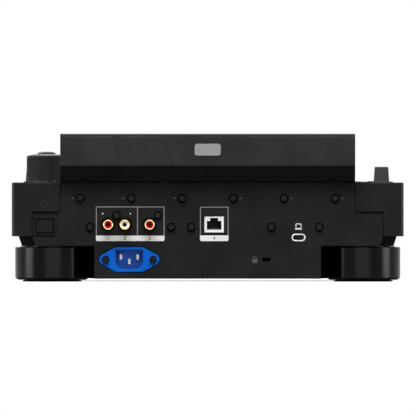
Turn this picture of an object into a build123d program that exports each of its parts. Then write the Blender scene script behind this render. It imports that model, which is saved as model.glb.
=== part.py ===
from build123d import *
import os
from math import asin, cos, pi, sin, tan

# Tabletop player for a DJ booth: a flat black cabinet on four round feet, with a jog wheel,
# pads and a tempo fader on top, a tilted touch display at the back and the sockets on the
# rear panel.  Millimetres.  +Z is up, +Y points to the rear and +X to the user's right.
# The origin is on the table, under the middle of the cabinet.

# ---------------------------------------------------------------- driving sizes
BODY_W = 329.4
BODY_D = 453.0
TOTAL_H = 124.3
PANEL_Z = 83.5            # top face of the control panel
COVER_FLOOR_Z = 38.2      # lower edge of the cover's walls
BELLY_Z = 30.1            # underside of the chassis beside the feet
TUB_Z = 2.5               # underside of the deep middle tub
TUB_NARROWER = 139.0      # how much narrower the tub is than the cabinet
TUB_FLANK = 9.0           # how much the tub widens on each side between the feet
OVERHANG = 12.0           # how far the display head stands past the rear panel
SHOULDER_PROUD = 1.0      # how far the cover stands past the rear panel

COVER_WALL = 3.0
COVER_RIM = 6.0           # width of the frame that the control panel lies in
COVER_LEDGE = 2.0
COVER_LEDGE_T = 2.2
COVER_CORNER_R = 3.0
EDGE_CHAMFER = 0.9
PANEL_T = 2.0
SHEET_T = 1.2
CHASSIS_T = 2.0
SEAM = 0.3                # gap between two fixed pieces
KEY_GAP = 0.35            # gap round a moving key

FOOT_R = 31.2
FOOT_TOP_Z = 29.2
FOOT_SIDE_INSET = 2.5
FOOT_INSET = 0.5
SPIGOT_R = 24.0           # raised middle of a foot, which meets the belly
PAD_TOP_Z = 2.6
PAD_R = 25.0

JOG_R = 103.0
JOG_FRONT_MARGIN = 140.5  # front edge of the cabinet to the jog wheel's centre
JOG_PRESS = 0.5

DISPLAY_STRIP = 40.75     # width of the panel left free on each side of the display
DISPLAY_SLOPE = 152.5     # length of the tilted face
DISPLAY_BACK_Z = 97.5     # lower edge of the display head's back
DISPLAY_LIP = 4.6         # height of the head's front edge over the panel
DISPLAY_WALL = 2.5
BEZEL_T = 2.2
GLASS_MARGIN = 11.0
GLASS_H = 138.6

FADER_TRAVEL = 100.0
BOARD_T = 1.6
SWITCH_H = 5.0

# ---------------------------------------------------------------- places worked out from them
EDGE_X = BODY_W / 2
FRONT_Y = -BODY_D / 2
BACK_Y = BODY_D / 2
REAR_Y = BACK_Y - OVERHANG
COVER_REAR_Y = REAR_Y + SHOULDER_PROUD
UNDER_Z = PANEL_Z - PANEL_T
JOG_Y = FRONT_Y + JOG_FRONT_MARGIN
TUB_W = BODY_W - TUB_NARROWER
FOOT_X = EDGE_X - FOOT_SIDE_INSET - FOOT_R
DISPLAY_W = BODY_W - 2 * DISPLAY_STRIP
GLASS_W = DISPLAY_W - 2 * GLASS_MARGIN
DISPLAY_FLAT = 2.0
DISPLAY_TILT = asin((TOTAL_H - PANEL_Z - DISPLAY_LIP) / DISPLAY_SLOPE)
DISPLAY_TOP_Y = BACK_Y - DISPLAY_FLAT
DISPLAY_FRONT_Y = DISPLAY_TOP_Y - DISPLAY_SLOPE * cos(DISPLAY_TILT)
DISPLAY_FRONT_Z = PANEL_Z + DISPLAY_LIP
BOARD_DROP = 9.5          # underside of the panel to the top of the control boards
BOARD_TOP_Z = UNDER_Z - BOARD_DROP
HEAD_PLANE = Plane(
    origin=(0, DISPLAY_FRONT_Y, DISPLAY_FRONT_Z),
    x_dir=(1, 0, 0),
    z_dir=(0, -sin(DISPLAY_TILT), cos(DISPLAY_TILT)),
)


# ---------------------------------------------------------------- small helpers
def block(x0, x1, y0, y1, z0, z1):
    """Box between two corners."""
    size = (x1 - x0, y1 - y0, z1 - z0)
    centre = ((x0 + x1) / 2, (y0 + y1) / 2, (z0 + z1) / 2)
    return Pos(*centre) * Box(*size)


def post(x, y, z0, z1, r):
    """Upright cylinder."""
    return Pos(x, y, (z0 + z1) / 2) * Cylinder(r, z1 - z0)


def rod_y(x, z, y0, y1, r):
    """Cylinder along Y."""
    return Pos(x, (y0 + y1) / 2, z) * Rot(90, 0, 0) * Cylinder(r, y1 - y0)


def rod_x(y, z, x0, x1, r):
    """Cylinder along X."""
    return Pos((x0 + x1) / 2, y, z) * Rot(0, 90, 0) * Cylinder(r, x1 - x0)


def ring(x, y, z0, z1, r_out, r_in):
    """Upright tube."""
    return post(x, y, z0, z1, r_out) - post(x, y, z0 - 1, z1 + 1, r_in)


def prism_x(points, x0, x1):
    """Outline of (y, z) points, drawn out along X."""
    outline = Plane.YZ * Polygon(*points, align=None)
    return Pos(x0, 0, 0) * extrude(outline, x1 - x0, dir=(1, 0, 0))


def prism_y(points, y0, y1):
    """Outline of (x, z) points, drawn out along Y."""
    outline = Plane.XZ * Polygon(*points, align=None)
    return Pos(0, y0, 0) * extrude(outline, y1 - y0, dir=(0, 1, 0))


def turned(points, x=0, y=0, z=0):
    """Outline of (radius, z) points, turned about an upright axis."""
    return Pos(x, y, z) * revolve(Plane.XZ * Polygon(*points, align=None), Axis.Z)


def mirrored(points):
    """Closes a half outline that runs up the +X side with its mirror image."""
    return points + [(-x, z) for x, z in reversed(points)]


def top_edges(shape):
    """Edges that lie in the highest plane of a shape."""
    return shape.edges().group_by(Axis.Z)[-1]


def join(pieces):
    """One shape from several that touch or overlap."""
    first, *rest = pieces
    return first.fuse(*rest).clean() if rest else first


# ---------------------------------------------------------------- keys
KEY_FLANGE = 1.0
KEY_FLANGE_T = 1.2
KEY_RISE = 1.2
KEY_TRAVEL = 0.6
KEY_EDGE_R = 0.35
PLUNGER_R = 1.6


class Key:
    """A push key: its place on the panel, its outline (round, or w by d) and its travel."""

    def __init__(self, x, y, r=0.0, w=0.0, d=0.0, travel=KEY_TRAVEL, lit_ring=0.0):
        self.x = x
        self.y = y
        self.r = r
        self.w = w
        self.d = d
        self.travel = travel
        self.lit_ring = lit_ring

    def outline(self, grow=0.0):
        """Outline of the cap, grown by a margin, at the origin."""
        if self.r:
            return Circle(self.r + grow)
        return RectangleRounded(self.w + 2 * grow, self.d + 2 * grow, 1.2 + max(grow, 0))

    def hole(self):
        """Opening that the cap comes through."""
        return Pos(self.x, self.y) * self.outline(KEY_GAP)

    def solid(self):
        """The key at the origin: Z = 0 is the outer face of the plate that it stands in."""
        flange_top = -PANEL_T - SEAM
        cap = Pos(0, 0, flange_top - 0.1) * extrude(self.outline(), KEY_RISE - flange_top + 0.1)
        cap = fillet(top_edges(cap), KEY_EDGE_R)
        if self.lit_ring:
            groove_floor = KEY_RISE - 0.5
            cap -= ring(0, 0, groove_floor, KEY_RISE + 1, self.lit_ring + 0.5, self.lit_ring)
        flange = Pos(0, 0, flange_top - KEY_FLANGE_T) * extrude(
            self.outline(KEY_FLANGE), KEY_FLANGE_T
        )
        switch_top = BOARD_TOP_Z + SWITCH_H - PANEL_Z
        tip = switch_top + self.travel + SEAM
        plunger = post(0, 0, tip, flange_top - KEY_FLANGE_T + 0.5, PLUNGER_R)
        return join([cap, flange, plunger])

    def placed(self):
        """The key in the control panel."""
        return Pos(self.x, self.y, PANEL_Z) * self.solid()


# The transport keys stand in the left-hand column, from the front edge to the back.
TRANSPORT_X = -(EDGE_X - 28.0)
PAIR_X = (-(EDGE_X - 18.4), -(EDGE_X - 42.0))
RIGHT_X = (EDGE_X - 42.0, EDGE_X - 18.4)
STRIP_X = (DISPLAY_W / 2 + EDGE_X) / 2
HOT_CUE_PITCH = 25.5
HOT_CUE_SIZE = (21.5, 13.0)
HOT_CUE_SHIFT = -8.0      # the row stands left of the middle, to leave room for the selector
RELOOP_X = -101.0
MEMORY_X = 58.0
MEMORY_PITCH = 16.0
HOT_CUE_Y = DISPLAY_FRONT_Y - 16.5
SECOND_ROW_Y = HOT_CUE_Y - 23.5
SELECTOR_X = EDGE_X - 27.8
SELECTOR_Y = DISPLAY_FRONT_Y - 24.5
KNOB_Y = SELECTOR_Y - 40.0
TEMPO_KEY_Y = SELECTOR_Y - 70.0
SYNC_KEY_Y = SELECTOR_Y - 98.0
FADER_X = EDGE_X - 21.7
FADER_Y = FRONT_Y + 80.5
LEVER_X = -(EDGE_X - 16.0)
LEVER_Y = JOG_Y + 33.0

SINGLE_KEYS = {
    "play_button": Key(TRANSPORT_X, FRONT_Y + 30, r=17.6, travel=0.9, lit_ring=14.2),
    "cue_button": Key(TRANSPORT_X, FRONT_Y + 74, r=17.6, travel=0.9, lit_ring=14.2),
    "search_back_button": Key(PAIR_X[0], JOG_Y - 31, r=7.6),
    "search_forward_button": Key(PAIR_X[1], JOG_Y - 31, r=7.6),
    "track_back_button": Key(PAIR_X[0], JOG_Y - 7, r=7.6),
    "track_forward_button": Key(PAIR_X[1], JOG_Y - 7, r=7.6),
    "beat_back_button": Key(PAIR_X[0], JOG_Y + 70, w=17.0, d=9.0),
    "beat_forward_button": Key(PAIR_X[1], JOG_Y + 70, w=17.0, d=9.0),
    "loop_in_button": Key(PAIR_X[0], SECOND_ROW_Y - 11, r=8.6, lit_ring=6.4),
    "loop_out_button": Key(PAIR_X[1], SECOND_ROW_Y - 11, r=8.6, lit_ring=6.4),
    "reloop_button": Key(RELOOP_X, SECOND_ROW_Y, r=7.6),
    "sync_key": Key(RIGHT_X[0], SYNC_KEY_Y, r=8.2, lit_ring=6.2),
    "master_key": Key(RIGHT_X[1], SYNC_KEY_Y, r=8.2, lit_ring=6.2),
    "tempo_reset_key": Key(FADER_X - 25, FADER_Y - 46, w=12.0, d=7.0),
}
for number in range(8):
    hot_cue_x = HOT_CUE_SHIFT + (number - 3.5) * HOT_CUE_PITCH
    w, d = HOT_CUE_SIZE
    SINGLE_KEYS[f"hot_cue_{number + 1}"] = Key(hot_cue_x, HOT_CUE_Y, w=w, d=d, travel=0.8)

GANGED_KEYS = {
    "mode_keys": [Key(-STRIP_X, DISPLAY_FRONT_Y + 32 + 20 * k, w=18.0, d=9.0) for k in range(3)],
    "browse_keys": [Key(STRIP_X, DISPLAY_FRONT_Y + 18 + 20 * k, w=18.0, d=9.0) for k in range(2)],
    "memory_keys": [Key(MEMORY_X + MEMORY_PITCH * k, SECOND_ROW_Y, w=12.0, d=7.0) for k in range(4)],
    "tempo_keys": [Key(x, TEMPO_KEY_Y, w=17.0, d=9.0) for x in RIGHT_X],
}

# Six slim keys lie in the display head's bezel, over the glass: places in the head's own plane.
MENU_KEY_V = DISPLAY_SLOPE - 5.9
MENU_KEYS = [Key((k - 2.5) * 36.0, MENU_KEY_V, w=27.0, d=5.0) for k in range(6)]


# ---------------------------------------------------------------- cabinet
def cover_outline(inset):
    """Plan of the top cover, drawn in by an inset."""
    w = BODY_W - 2 * inset
    d = COVER_REAR_Y - FRONT_Y - 2 * inset
    return Pos(0, (COVER_REAR_Y + FRONT_Y) / 2) * RectangleRounded(
        w, d, max(COVER_CORNER_R - inset, 1.0)
    )


SHOULDER_Z = 58.9         # height of the step in the cover's rear corners
SHOULDER_X = DISPLAY_W / 2 + 0.6
SHOULDER_DRAFT = 0.6      # the seam leans towards the middle by this much on its way up
HIP_X = EDGE_X - 16.7
HIP_LOW_X = HIP_X - 2.6


def rear_outline(gap):
    """Half outline (x, z) of the rear panel, drawn in by a gap where it meets the cover."""
    return [
        (TUB_W / 2, TUB_Z),
        (TUB_W / 2, BELLY_Z),
        (HIP_LOW_X - gap, BELLY_Z),
        (HIP_X - gap, COVER_FLOOR_Z),
        (HIP_X - gap, SHOULDER_Z - gap),
        (SHOULDER_X - gap, SHOULDER_Z - gap),
        (SHOULDER_X - SHOULDER_DRAFT - gap, PANEL_Z - gap),
    ]


def make_top_cover():
    """Moulded cover: four walls and the frame round the control panel, open at the rear."""
    body = Pos(0, 0, COVER_FLOOR_Z) * extrude(cover_outline(0), PANEL_Z - COVER_FLOOR_Z)
    body = chamfer(top_edges(body), EDGE_CHAMFER)
    ledge_z = UNDER_Z - COVER_LEDGE_T
    hollow = Pos(0, 0, COVER_FLOOR_Z - 1) * extrude(
        cover_outline(COVER_WALL), ledge_z - COVER_FLOOR_Z + 1
    )
    opening = Pos(0, 0, ledge_z - 1) * extrude(cover_outline(COVER_RIM + COVER_LEDGE), 12)
    seat = Pos(0, 0, UNDER_Z) * extrude(cover_outline(COVER_RIM), PANEL_T + 1)
    low = COVER_FLOOR_Z - 5
    window = [
        (HIP_X, low),
        (HIP_X, SHOULDER_Z),
        (SHOULDER_X, SHOULDER_Z),
        (SHOULDER_X - SHOULDER_DRAFT, PANEL_Z + 5),
    ]
    panel_bed = prism_y(mirrored(window), REAR_Y - SHEET_T - SEAM, BACK_Y)
    under_ledge = [(x, min(z, ledge_z)) for x, z in window]
    wall_cut = prism_y(mirrored(under_ledge), COVER_REAR_Y - COVER_WALL - 1, BACK_Y)
    return body - hollow - opening - seat - panel_bed - wall_cut


SELECTOR_HOLE_R = 6.6
SELECTOR_RING = (19.5, 17.5)
SELECTOR_RING_T = 1.2
KNOB_HOLE_R = 4.6
KNOB_X = (EDGE_X - 42.7, EDGE_X - 16.7)
LIGHT_RING_R = JOG_R + 5.0
LEVER_SLOT = (14.4, 16.6)
LEVER_PLATE = (19.2, 38.0)
FADER_SLOT_W = 3.0
FADER_STEM = (1.6, 9.0)
FADER_SLOT_L = FADER_TRAVEL + FADER_STEM[1] + 3.0
USB_A_Y = DISPLAY_FRONT_Y + 116.0
USB_C_Y = DISPLAY_FRONT_Y + 97.0
USB_A_MOUTH = (13.2, 5.8)
USB_C_MOUTH = (9.2, 3.6)
PORT_X = -STRIP_X
HEAD_BAY = 5.0            # how far the opening under the display stays inside the head


def make_control_panel():
    """Top plate with an opening for every control, and the opening under the display head."""
    outline = cover_outline(COVER_RIM + SEAM)
    holes = [key.hole() for key in SINGLE_KEYS.values()]
    for keys in GANGED_KEYS.values():
        holes += [key.hole() for key in keys]
    holes.append(Pos(0, JOG_Y) * Circle(LIGHT_RING_R + SEAM))
    holes.append(Pos(SELECTOR_X, SELECTOR_Y) * Circle(SELECTOR_HOLE_R))
    holes += [Pos(x, KNOB_Y) * Circle(KNOB_HOLE_R) for x in KNOB_X]
    holes.append(Pos(LEVER_X, LEVER_Y) * Rectangle(*LEVER_SLOT))
    holes.append(Pos(FADER_X, FADER_Y) * SlotOverall(FADER_SLOT_L, FADER_SLOT_W, rotation=90))
    holes.append(Pos(PORT_X, USB_A_Y) * Rectangle(*USB_A_MOUTH))
    holes.append(Pos(PORT_X, USB_C_Y) * SlotOverall(*USB_C_MOUTH))
    bay_front = DISPLAY_FRONT_Y + HEAD_BAY
    bay_back = REAR_Y - 10.0
    bay = Rectangle(DISPLAY_W - 2 * HEAD_BAY, bay_back - bay_front)
    holes.append(Pos(0, (bay_front + bay_back) / 2) * bay)
    sheet = Pos(0, 0, UNDER_Z) * extrude(outline - holes, PANEL_T)
    selector_ring = ring(
        SELECTOR_X,
        SELECTOR_Y,
        PANEL_Z - 0.5,
        PANEL_Z + SELECTOR_RING_T,
        *SELECTOR_RING,
    )
    lever_frame = Rectangle(*LEVER_PLATE) - Rectangle(*LEVER_SLOT)
    lever_plate = Pos(LEVER_X, LEVER_Y, PANEL_Z - 0.5) * extrude(lever_frame, 0.5 + 1.0)
    return join([sheet, selector_ring, lever_plate])


FOOT_REAR_Y = REAR_Y - FOOT_INSET - FOOT_R
FOOT_FRONT_Y = FRONT_Y + OVERHANG + FOOT_R
FOOT_PLACES = [(sx * FOOT_X, y) for y in (FOOT_FRONT_Y, FOOT_REAR_Y) for sx in (-1, 1)]
FLANK_GAP = 3.0           # gap between a foot and the tub's flank


def tub(inset, top_z):
    """Space inside the chassis outline, drawn in by an inset.  The belly flares up to the cover."""
    low_w = BODY_W - 16.8 - 2 * inset
    high_w = BODY_W - 11.4 - 2 * inset
    wide_w = BODY_W - 2 * COVER_WALL - 2 * SEAM - 2 * inset
    front_low = FRONT_Y + 8.4 + inset
    front_high = FRONT_Y + 5.7 + inset
    front_wide = FRONT_Y + COVER_WALL + SEAM + inset
    back = REAR_Y - 10.0 - inset
    floor = BELLY_Z + inset

    def belly_plan(w, front):
        return Pos(0, (front + back) / 2) * Rectangle(w, back - front)

    flare = loft(
        [
            Pos(0, 0, floor) * belly_plan(low_w, front_low),
            Pos(0, 0, COVER_FLOOR_Z) * belly_plan(high_w, front_high),
        ]
    )
    walls = Pos(0, 0, COVER_FLOOR_Z) * extrude(belly_plan(wide_w, front_wide), top_z - COVER_FLOOR_Z)
    middle = block(
        -TUB_W / 2 + inset,
        TUB_W / 2 - inset,
        FRONT_Y + 14 + inset,
        REAR_Y - SHEET_T,
        TUB_Z + inset,
        COVER_FLOOR_Z,
    )
    flank_x = TUB_W / 2 + TUB_FLANK - inset
    flank_y = (FOOT_FRONT_Y + FOOT_R + FLANK_GAP + inset, FOOT_REAR_Y - FOOT_R - FLANK_GAP - inset)
    flank = block(-flank_x, flank_x, *flank_y, TUB_Z + inset, COVER_FLOOR_Z)
    hip = [(HIP_LOW_X - 2.5 - inset, floor), (HIP_LOW_X - 1.0 - inset, COVER_FLOOR_Z - 0.6)]
    tail = prism_y(mirrored(hip), 0, REAR_Y - SHEET_T)
    return join([flare, walls, middle, flank, tail])


CHASSIS_TOP_Z = 54.0
MAIN_BOARD_Z = 39.6
SUPPLY_Z = 10.0
MAIN_BOARD_X = (-112.0, 92.0)
MAIN_BOARD_Y = (REAR_Y - 140.0, REAR_Y - 4.0)
SUPPLY_X = (-40.0, 78.0)
SUPPLY_Y = (REAR_Y - 160.0, REAR_Y - 44.0)
STANDOFF_R = 3.0


def board_corners(xs, ys, inset=6.0):
    """Screw places near the four corners of a board."""
    return [(x, y) for x in (xs[0] + inset, xs[1] - inset) for y in (ys[0] + inset, ys[1] - inset)]


BOTTOM_SCREWS = [(x, y) for x in (-80.0, 80.0) for y in (FRONT_Y + 60, JOG_Y + 30, REAR_Y - 30)]
DIMPLE_DEPTH = 1.8        # how far the floor's screws are let into it


def make_bottom_chassis():
    """Pressed chassis: a belly over the feet, a deep middle tub, board posts and air slots.
    Its floor is dimpled for its screws."""
    shell = tub(0, CHASSIS_TOP_Z) - tub(CHASSIS_T, CHASSIS_TOP_Z + 20)
    top = CHASSIS_TOP_Z + 1
    half = TUB_W / 2 - CHASSIS_T
    shell -= block(-half, half, REAR_Y - 14, REAR_Y + 1, TUB_Z + CHASSIS_T, top)
    shell -= block(-HIP_X, HIP_X, REAR_Y - 14, REAR_Y + 1, COVER_FLOOR_Z - 0.6, top)
    slots = []
    for row in (-1, 1):
        for k in range(12):
            slot = SlotOverall(34.0, 2.6)
            place = Pos(row * 42.0, k * 7.0 - 30.0, TUB_Z - 1)
            slots.append(place * extrude(slot, CHASSIS_T + 2))
    shell = shell - slots
    posts = []
    for x, y in board_corners(MAIN_BOARD_X, MAIN_BOARD_Y):
        floor = TUB_Z if abs(x) < TUB_W / 2 + TUB_FLANK else BELLY_Z
        posts.append(post(x, y, floor + 1, MAIN_BOARD_Z, STANDOFF_R))
    for x, y in board_corners(SUPPLY_X, SUPPLY_Y):
        posts.append(post(x, y, TUB_Z + 1, SUPPLY_Z, STANDOFF_R))
    dimples = []
    for x, y in BOTTOM_SCREWS:
        posts.append(post(x, y, TUB_Z + 0.5, TUB_Z + DIMPLE_DEPTH + CHASSIS_T, SCREW_R + SEAM + CHASSIS_T))
        dimples.append(post(x, y, TUB_Z - 1, TUB_Z + DIMPLE_DEPTH, SCREW_R + SEAM))
    return join([shell, *posts]) - dimples


# Places on the rear panel, as (x, z).
UPPER_SCREWS = [((k - 2.5) * 42.85, 70.2) for k in range(6)]
LOWER_SCREWS = [(98.9, 46.0), (30.7, 46.0), (14.0, 46.0), (-53.4, 46.0), (-93.8, 46.0)]
JACK_SCREWS = [(76.7, 55.8), (41.8, 55.8)]
AUDIO_X = (83.7, 69.7)
DIGITAL_X = 48.8
JACK_Z = 48.0
JACK_COLLAR_R = 6.4
NETWORK_X = -5.4
NETWORK_Z = 48.1
NETWORK_SIZE = (16.2, 13.2)
USB_PORT_X = -76.4
USB_PORT_Z = 37.3
INLET_X = 65.9
INLET_Z = 18.8
INLET_PITCH = 40.0
LOCK_X = -49.3
LOCK_Z = 18.6
POWER_X = EDGE_X - 27.6
POWER_Z = 46.8
POWER_FRAME = (18.6, 14.6)
POWER_FACE = (14.2, 10.6)
SCREW_R = 3.1
SCREW_SHANK_R = 1.4
SCREW_HOLE_R = 1.7
INLET_FLANGE_T = 2.4
FLANGE_DEPTH = 0.5


def inlet_flange(grow=0.0):
    """Outline (x, z) of the power inlet's flange: a flat hexagon with rounded ends."""
    end_r = 5.4 + grow
    middle = Rectangle(22.6 + grow, 21.6 + 2 * grow)
    ends = [Pos(side * INLET_PITCH / 2, 0) * Circle(end_r) for side in (-1, 1)]
    return make_hull((middle + ends).edges())


def rear_sketch(shape, x, z):
    """A flat outline stood up on the rear panel at (x, z)."""
    return Plane.XZ * (Pos(x, z) * shape)


def rear_cut(shape, x, z, y0=None, y1=None):
    """A tool that cuts an outline through the rear panel."""
    y0 = REAR_Y - SHEET_T - 1 if y0 is None else y0
    y1 = REAR_Y + 1 if y1 is None else y1
    return Pos(0, y1, 0) * extrude(rear_sketch(shape, x, z), y1 - y0)


INLET_BODY = (27.0, 19.6)


def make_rear_panel():
    """Folded steel panel with the socket cut-outs and the bracket that the power inlet sits on."""
    sheet = prism_y(mirrored(rear_outline(SEAM + 0.1)), REAR_Y - SHEET_T, REAR_Y)
    cuts = [rear_cut(Circle(JACK_COLLAR_R + SEAM), x, JACK_Z) for x in (*AUDIO_X, DIGITAL_X)]
    network_hole = Rectangle(NETWORK_SIZE[0] + 2 * SEAM, NETWORK_SIZE[1] + 2 * SEAM)
    cuts.append(rear_cut(network_hole, NETWORK_X, NETWORK_Z))
    cuts.append(rear_cut(SlotOverall(9.8, 4.2), USB_PORT_X, USB_PORT_Z))
    cuts.append(rear_cut(inlet_flange(0.5), INLET_X, INLET_Z))
    cuts.append(rear_cut(RectangleRounded(7.0, 3.2, 0.8), LOCK_X, LOCK_Z))
    power_hole = Rectangle(POWER_FRAME[0] - 0.6, POWER_FRAME[1] - 0.6)
    cuts.append(rear_cut(power_hole, POWER_X, POWER_Z))
    for x, z in UPPER_SCREWS + LOWER_SCREWS + JACK_SCREWS:
        cuts.append(rear_cut(Circle(SCREW_HOLE_R), x, z))
    seat_y = REAR_Y - FLANGE_DEPTH - INLET_FLANGE_T
    low, high = INLET_Z - 13, INLET_Z + 13
    bracket = block(INLET_X - 26.8, INLET_X + 26.8, seat_y - 1.2, seat_y, low, high)
    for side in (-1, 1):
        web_x = INLET_X + side * 26.3
        web = block(web_x - 0.5, web_x + 0.5, seat_y - 1, REAR_Y - 1, low, high)
        bracket = bracket.fuse(web)
    bracket -= rear_cut(Rectangle(*[s + 0.8 for s in INLET_BODY]), INLET_X, INLET_Z, seat_y - 3)
    for side in (-1, 1):
        hole_x = INLET_X + side * INLET_PITCH / 2
        bracket -= rear_cut(Circle(SCREW_HOLE_R), hole_x, INLET_Z, seat_y - 3)
    return join([sheet - cuts, bracket])


def make_feet():
    """Four moulded drums, each with a spigot up to the belly and a seat for its rubber pad."""
    slope_r = PAD_R + (FOOT_R - PAD_R) * 0.55
    drum = [
        (0, 1.2),
        (PAD_R - 1.6, 1.2),
        (PAD_R - 1.6, 1.6),
        (slope_r, 1.6),
        (FOOT_R, PAD_TOP_Z + 0.6),
        (FOOT_R, FOOT_TOP_Z - 0.5),
        (FOOT_R - 0.5, FOOT_TOP_Z),
        (SPIGOT_R, FOOT_TOP_Z),
        (SPIGOT_R, BELLY_Z),
        (0, BELLY_Z),
    ]
    return Compound([turned(drum, x, y) for x, y in FOOT_PLACES])


def make_foot_pads():
    """Rubber disc under each foot."""
    pad = [(0, 0), (PAD_R - 0.6, 0), (PAD_R, 0.6), (PAD_R, 1.2), (0, 1.2)]
    return Compound([turned(pad, x, y) for x, y in FOOT_PLACES])


def make_screws():
    """Pan-head screws of the rear panel and power inlet, and those of the chassis floor."""
    solids = []
    recess = Rectangle(3.4, 0.8) + Rectangle(0.8, 3.4)

    def rear_screw(x, z, face_y, length):
        head = rod_y(x, z, face_y, face_y + 1.9, SCREW_R)
        head = fillet(head.edges().group_by(Axis.Y)[-1], 0.9)
        head -= rear_cut(recess, x, z, face_y + 0.9, face_y + 3)
        shank = rod_y(x, z, face_y - length, face_y + 0.1, SCREW_SHANK_R)
        return head.fuse(shank)

    for x, z in UPPER_SCREWS + LOWER_SCREWS + JACK_SCREWS:
        solids.append(rear_screw(x, z, REAR_Y, 3.2))
    for side in (-1, 1):
        screw_x = INLET_X + side * INLET_PITCH / 2
        solids.append(rear_screw(screw_x, INLET_Z, REAR_Y - FLANGE_DEPTH, 5.0))
    for x, y in BOTTOM_SCREWS:
        head = post(x, y, TUB_Z + 0.1, TUB_Z + DIMPLE_DEPTH, SCREW_R)
        solids.append(head - Pos(x, y, TUB_Z) * extrude(recess, 0.9))
    return Compound(solids)


# ---------------------------------------------------------------- display head
def slope_point(v, depth):
    """(y, z) of a point v along the tilted face and depth below it."""
    y = DISPLAY_FRONT_Y + v * cos(DISPLAY_TILT) + depth * sin(DISPLAY_TILT)
    z = DISPLAY_FRONT_Z + v * sin(DISPLAY_TILT) - depth * cos(DISPLAY_TILT)
    return y, z


def slope_z(y, depth):
    """Height, at a given y, of the plane that lies depth below the tilted face."""
    along = (y - DISPLAY_FRONT_Y) * tan(DISPLAY_TILT)
    return DISPLAY_FRONT_Z + along - depth / cos(DISPLAY_TILT)


HEAD_BASE_Z = PANEL_Z + SEAM
NECK_Y = REAR_Y - 1.2


def head_profile(wall, depth):
    """Side outline (y, z) of the head's shell, drawn in by a wall, topped depth under its face."""
    front = DISPLAY_FRONT_Y + wall
    back = BACK_Y - wall
    neck = NECK_Y - wall * 1.2
    base = HEAD_BASE_Z if wall == 0 else HEAD_BASE_Z - 5
    return [
        (front, base),
        (neck - (5 if wall else 0) * 0.8, base),
        (back, DISPLAY_BACK_Z + wall * 0.5),
        (back, slope_z(back, depth)),
        (front, slope_z(front, depth)),
    ]


NECK_SLOTS_X = (-103.3, -36.4, 36.4, 103.3)


def make_display_housing():
    """Back shell of the display head, with a slanting neck under its overhang."""
    half = DISPLAY_W / 2
    shell = prism_x(head_profile(0, BEZEL_T + SEAM), -half, half)
    rim_edges = shell.edges().filter_by(Axis.Z).group_by(Axis.Y)[-1]
    shell = fillet(rim_edges, 1.2)
    hollow = prism_x(head_profile(DISPLAY_WALL, -20), -half + DISPLAY_WALL, half - DISPLAY_WALL)
    notches = [
        block(x - 3.0, x + 3.0, NECK_Y - 1.2, NECK_Y + 4, HEAD_BASE_Z - 1, HEAD_BASE_Z + 1.9)
        for x in NECK_SLOTS_X
    ]
    return shell - hollow - notches


GLASS_V = 3.2 + GLASS_H / 2


def make_display_bezel():
    """Lid of the display head: a frame round the glass, with the six menu key openings."""
    half = DISPLAY_W / 2
    strip = [
        slope_point(0, 0),
        slope_point(DISPLAY_SLOPE, 0),
        (BACK_Y, TOTAL_H),
        (BACK_Y, slope_z(BACK_Y, BEZEL_T)),
        (DISPLAY_FRONT_Y, slope_z(DISPLAY_FRONT_Y, BEZEL_T)),
    ]
    lid = prism_x(strip, -half, half)
    lid = chamfer(lid.edges().filter_by(Axis.X).group_by(Axis.Z)[-1], 0.4)
    window = Pos(0, GLASS_V) * RectangleRounded(GLASS_W + 2 * SEAM, GLASS_H + 2 * SEAM, 2.3)
    holes = [window, *[key.hole() for key in MENU_KEYS]]
    cuts = [HEAD_PLANE * Pos(0, 0, -BEZEL_T - 3) * extrude(hole, BEZEL_T + 6) for hole in holes]
    return lid - cuts


def make_touch_display():
    """Touch glass bonded to its screen module, whose flange lies behind the bezel."""
    glass = Pos(0, GLASS_V, -2.6) * extrude(RectangleRounded(GLASS_W, GLASS_H, 2.0), 2.6 - 0.15)
    flange = Pos(0, GLASS_V, -4.4) * extrude(Rectangle(GLASS_W + 2.4, GLASS_H + 2.4), 1.9)
    module = Pos(0, GLASS_V, -9.0) * extrude(Rectangle(GLASS_W - 8, GLASS_H - 8), 4.8)
    return HEAD_PLANE * join([glass, flange, module])


def make_menu_keys():
    """The six menu keys of the bezel."""
    return Compound([HEAD_PLANE * Pos(k.x, k.y, 0) * menu_key_solid(k) for k in MENU_KEYS])


def menu_key_solid(key):
    """A slim key with a shallow flange, for the thin space over the screen module."""
    flange_top = -BEZEL_T - SEAM
    cap = Pos(0, 0, flange_top - 0.1) * extrude(key.outline(), 0.9 - flange_top + 0.1)
    cap = fillet(top_edges(cap), KEY_EDGE_R)
    flange = Pos(0, 0, flange_top - 0.8) * extrude(key.outline(0.5), 0.8)
    return join([cap, flange])


# ---------------------------------------------------------------- jog wheel
JOG_PLATE_R = JOG_R - 15.0
JOG_DISPLAY_R = 36.5
HUB_R = (31.0, 34.0)
BUSH_R = (26.3, 30.6)
SPINDLE_R = (22.0, 26.0)
JOG_BASE_R = LIGHT_RING_R + 5.0
DIMPLES = 30
ENCODER_SLITS = 60


def make_jog_rim():
    """Grip ring of the jog wheel, with finger dimples round its slanting face."""
    section = [
        (JOG_R - 6.0, 1.2),
        (JOG_R, 1.2),
        (JOG_R, 5.2),
        (JOG_R - 1.2, 6.6),
        (JOG_PLATE_R + 3.4, 12.2),
        (JOG_PLATE_R + 1.6, 12.6),
        (JOG_PLATE_R + SEAM, 12.2),
        (JOG_PLATE_R + SEAM, 9.2),
        (JOG_PLATE_R - 4.0, 9.2),
        (JOG_PLATE_R - 4.0, 7.0),
        (JOG_PLATE_R + 2.0, 7.0),
    ]
    rim = turned(section, 0, JOG_Y, PANEL_Z)
    ball_r = 9.0
    ball_z = PANEL_Z + 16.4
    ball_at = JOG_R - 3.2
    dimples = []
    for k in range(DIMPLES):
        turn = 2 * pi * k / DIMPLES
        place = Pos(ball_at * cos(turn), JOG_Y + ball_at * sin(turn), ball_z)
        dimples.append(place * Sphere(ball_r))
    return rim - dimples


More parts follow.
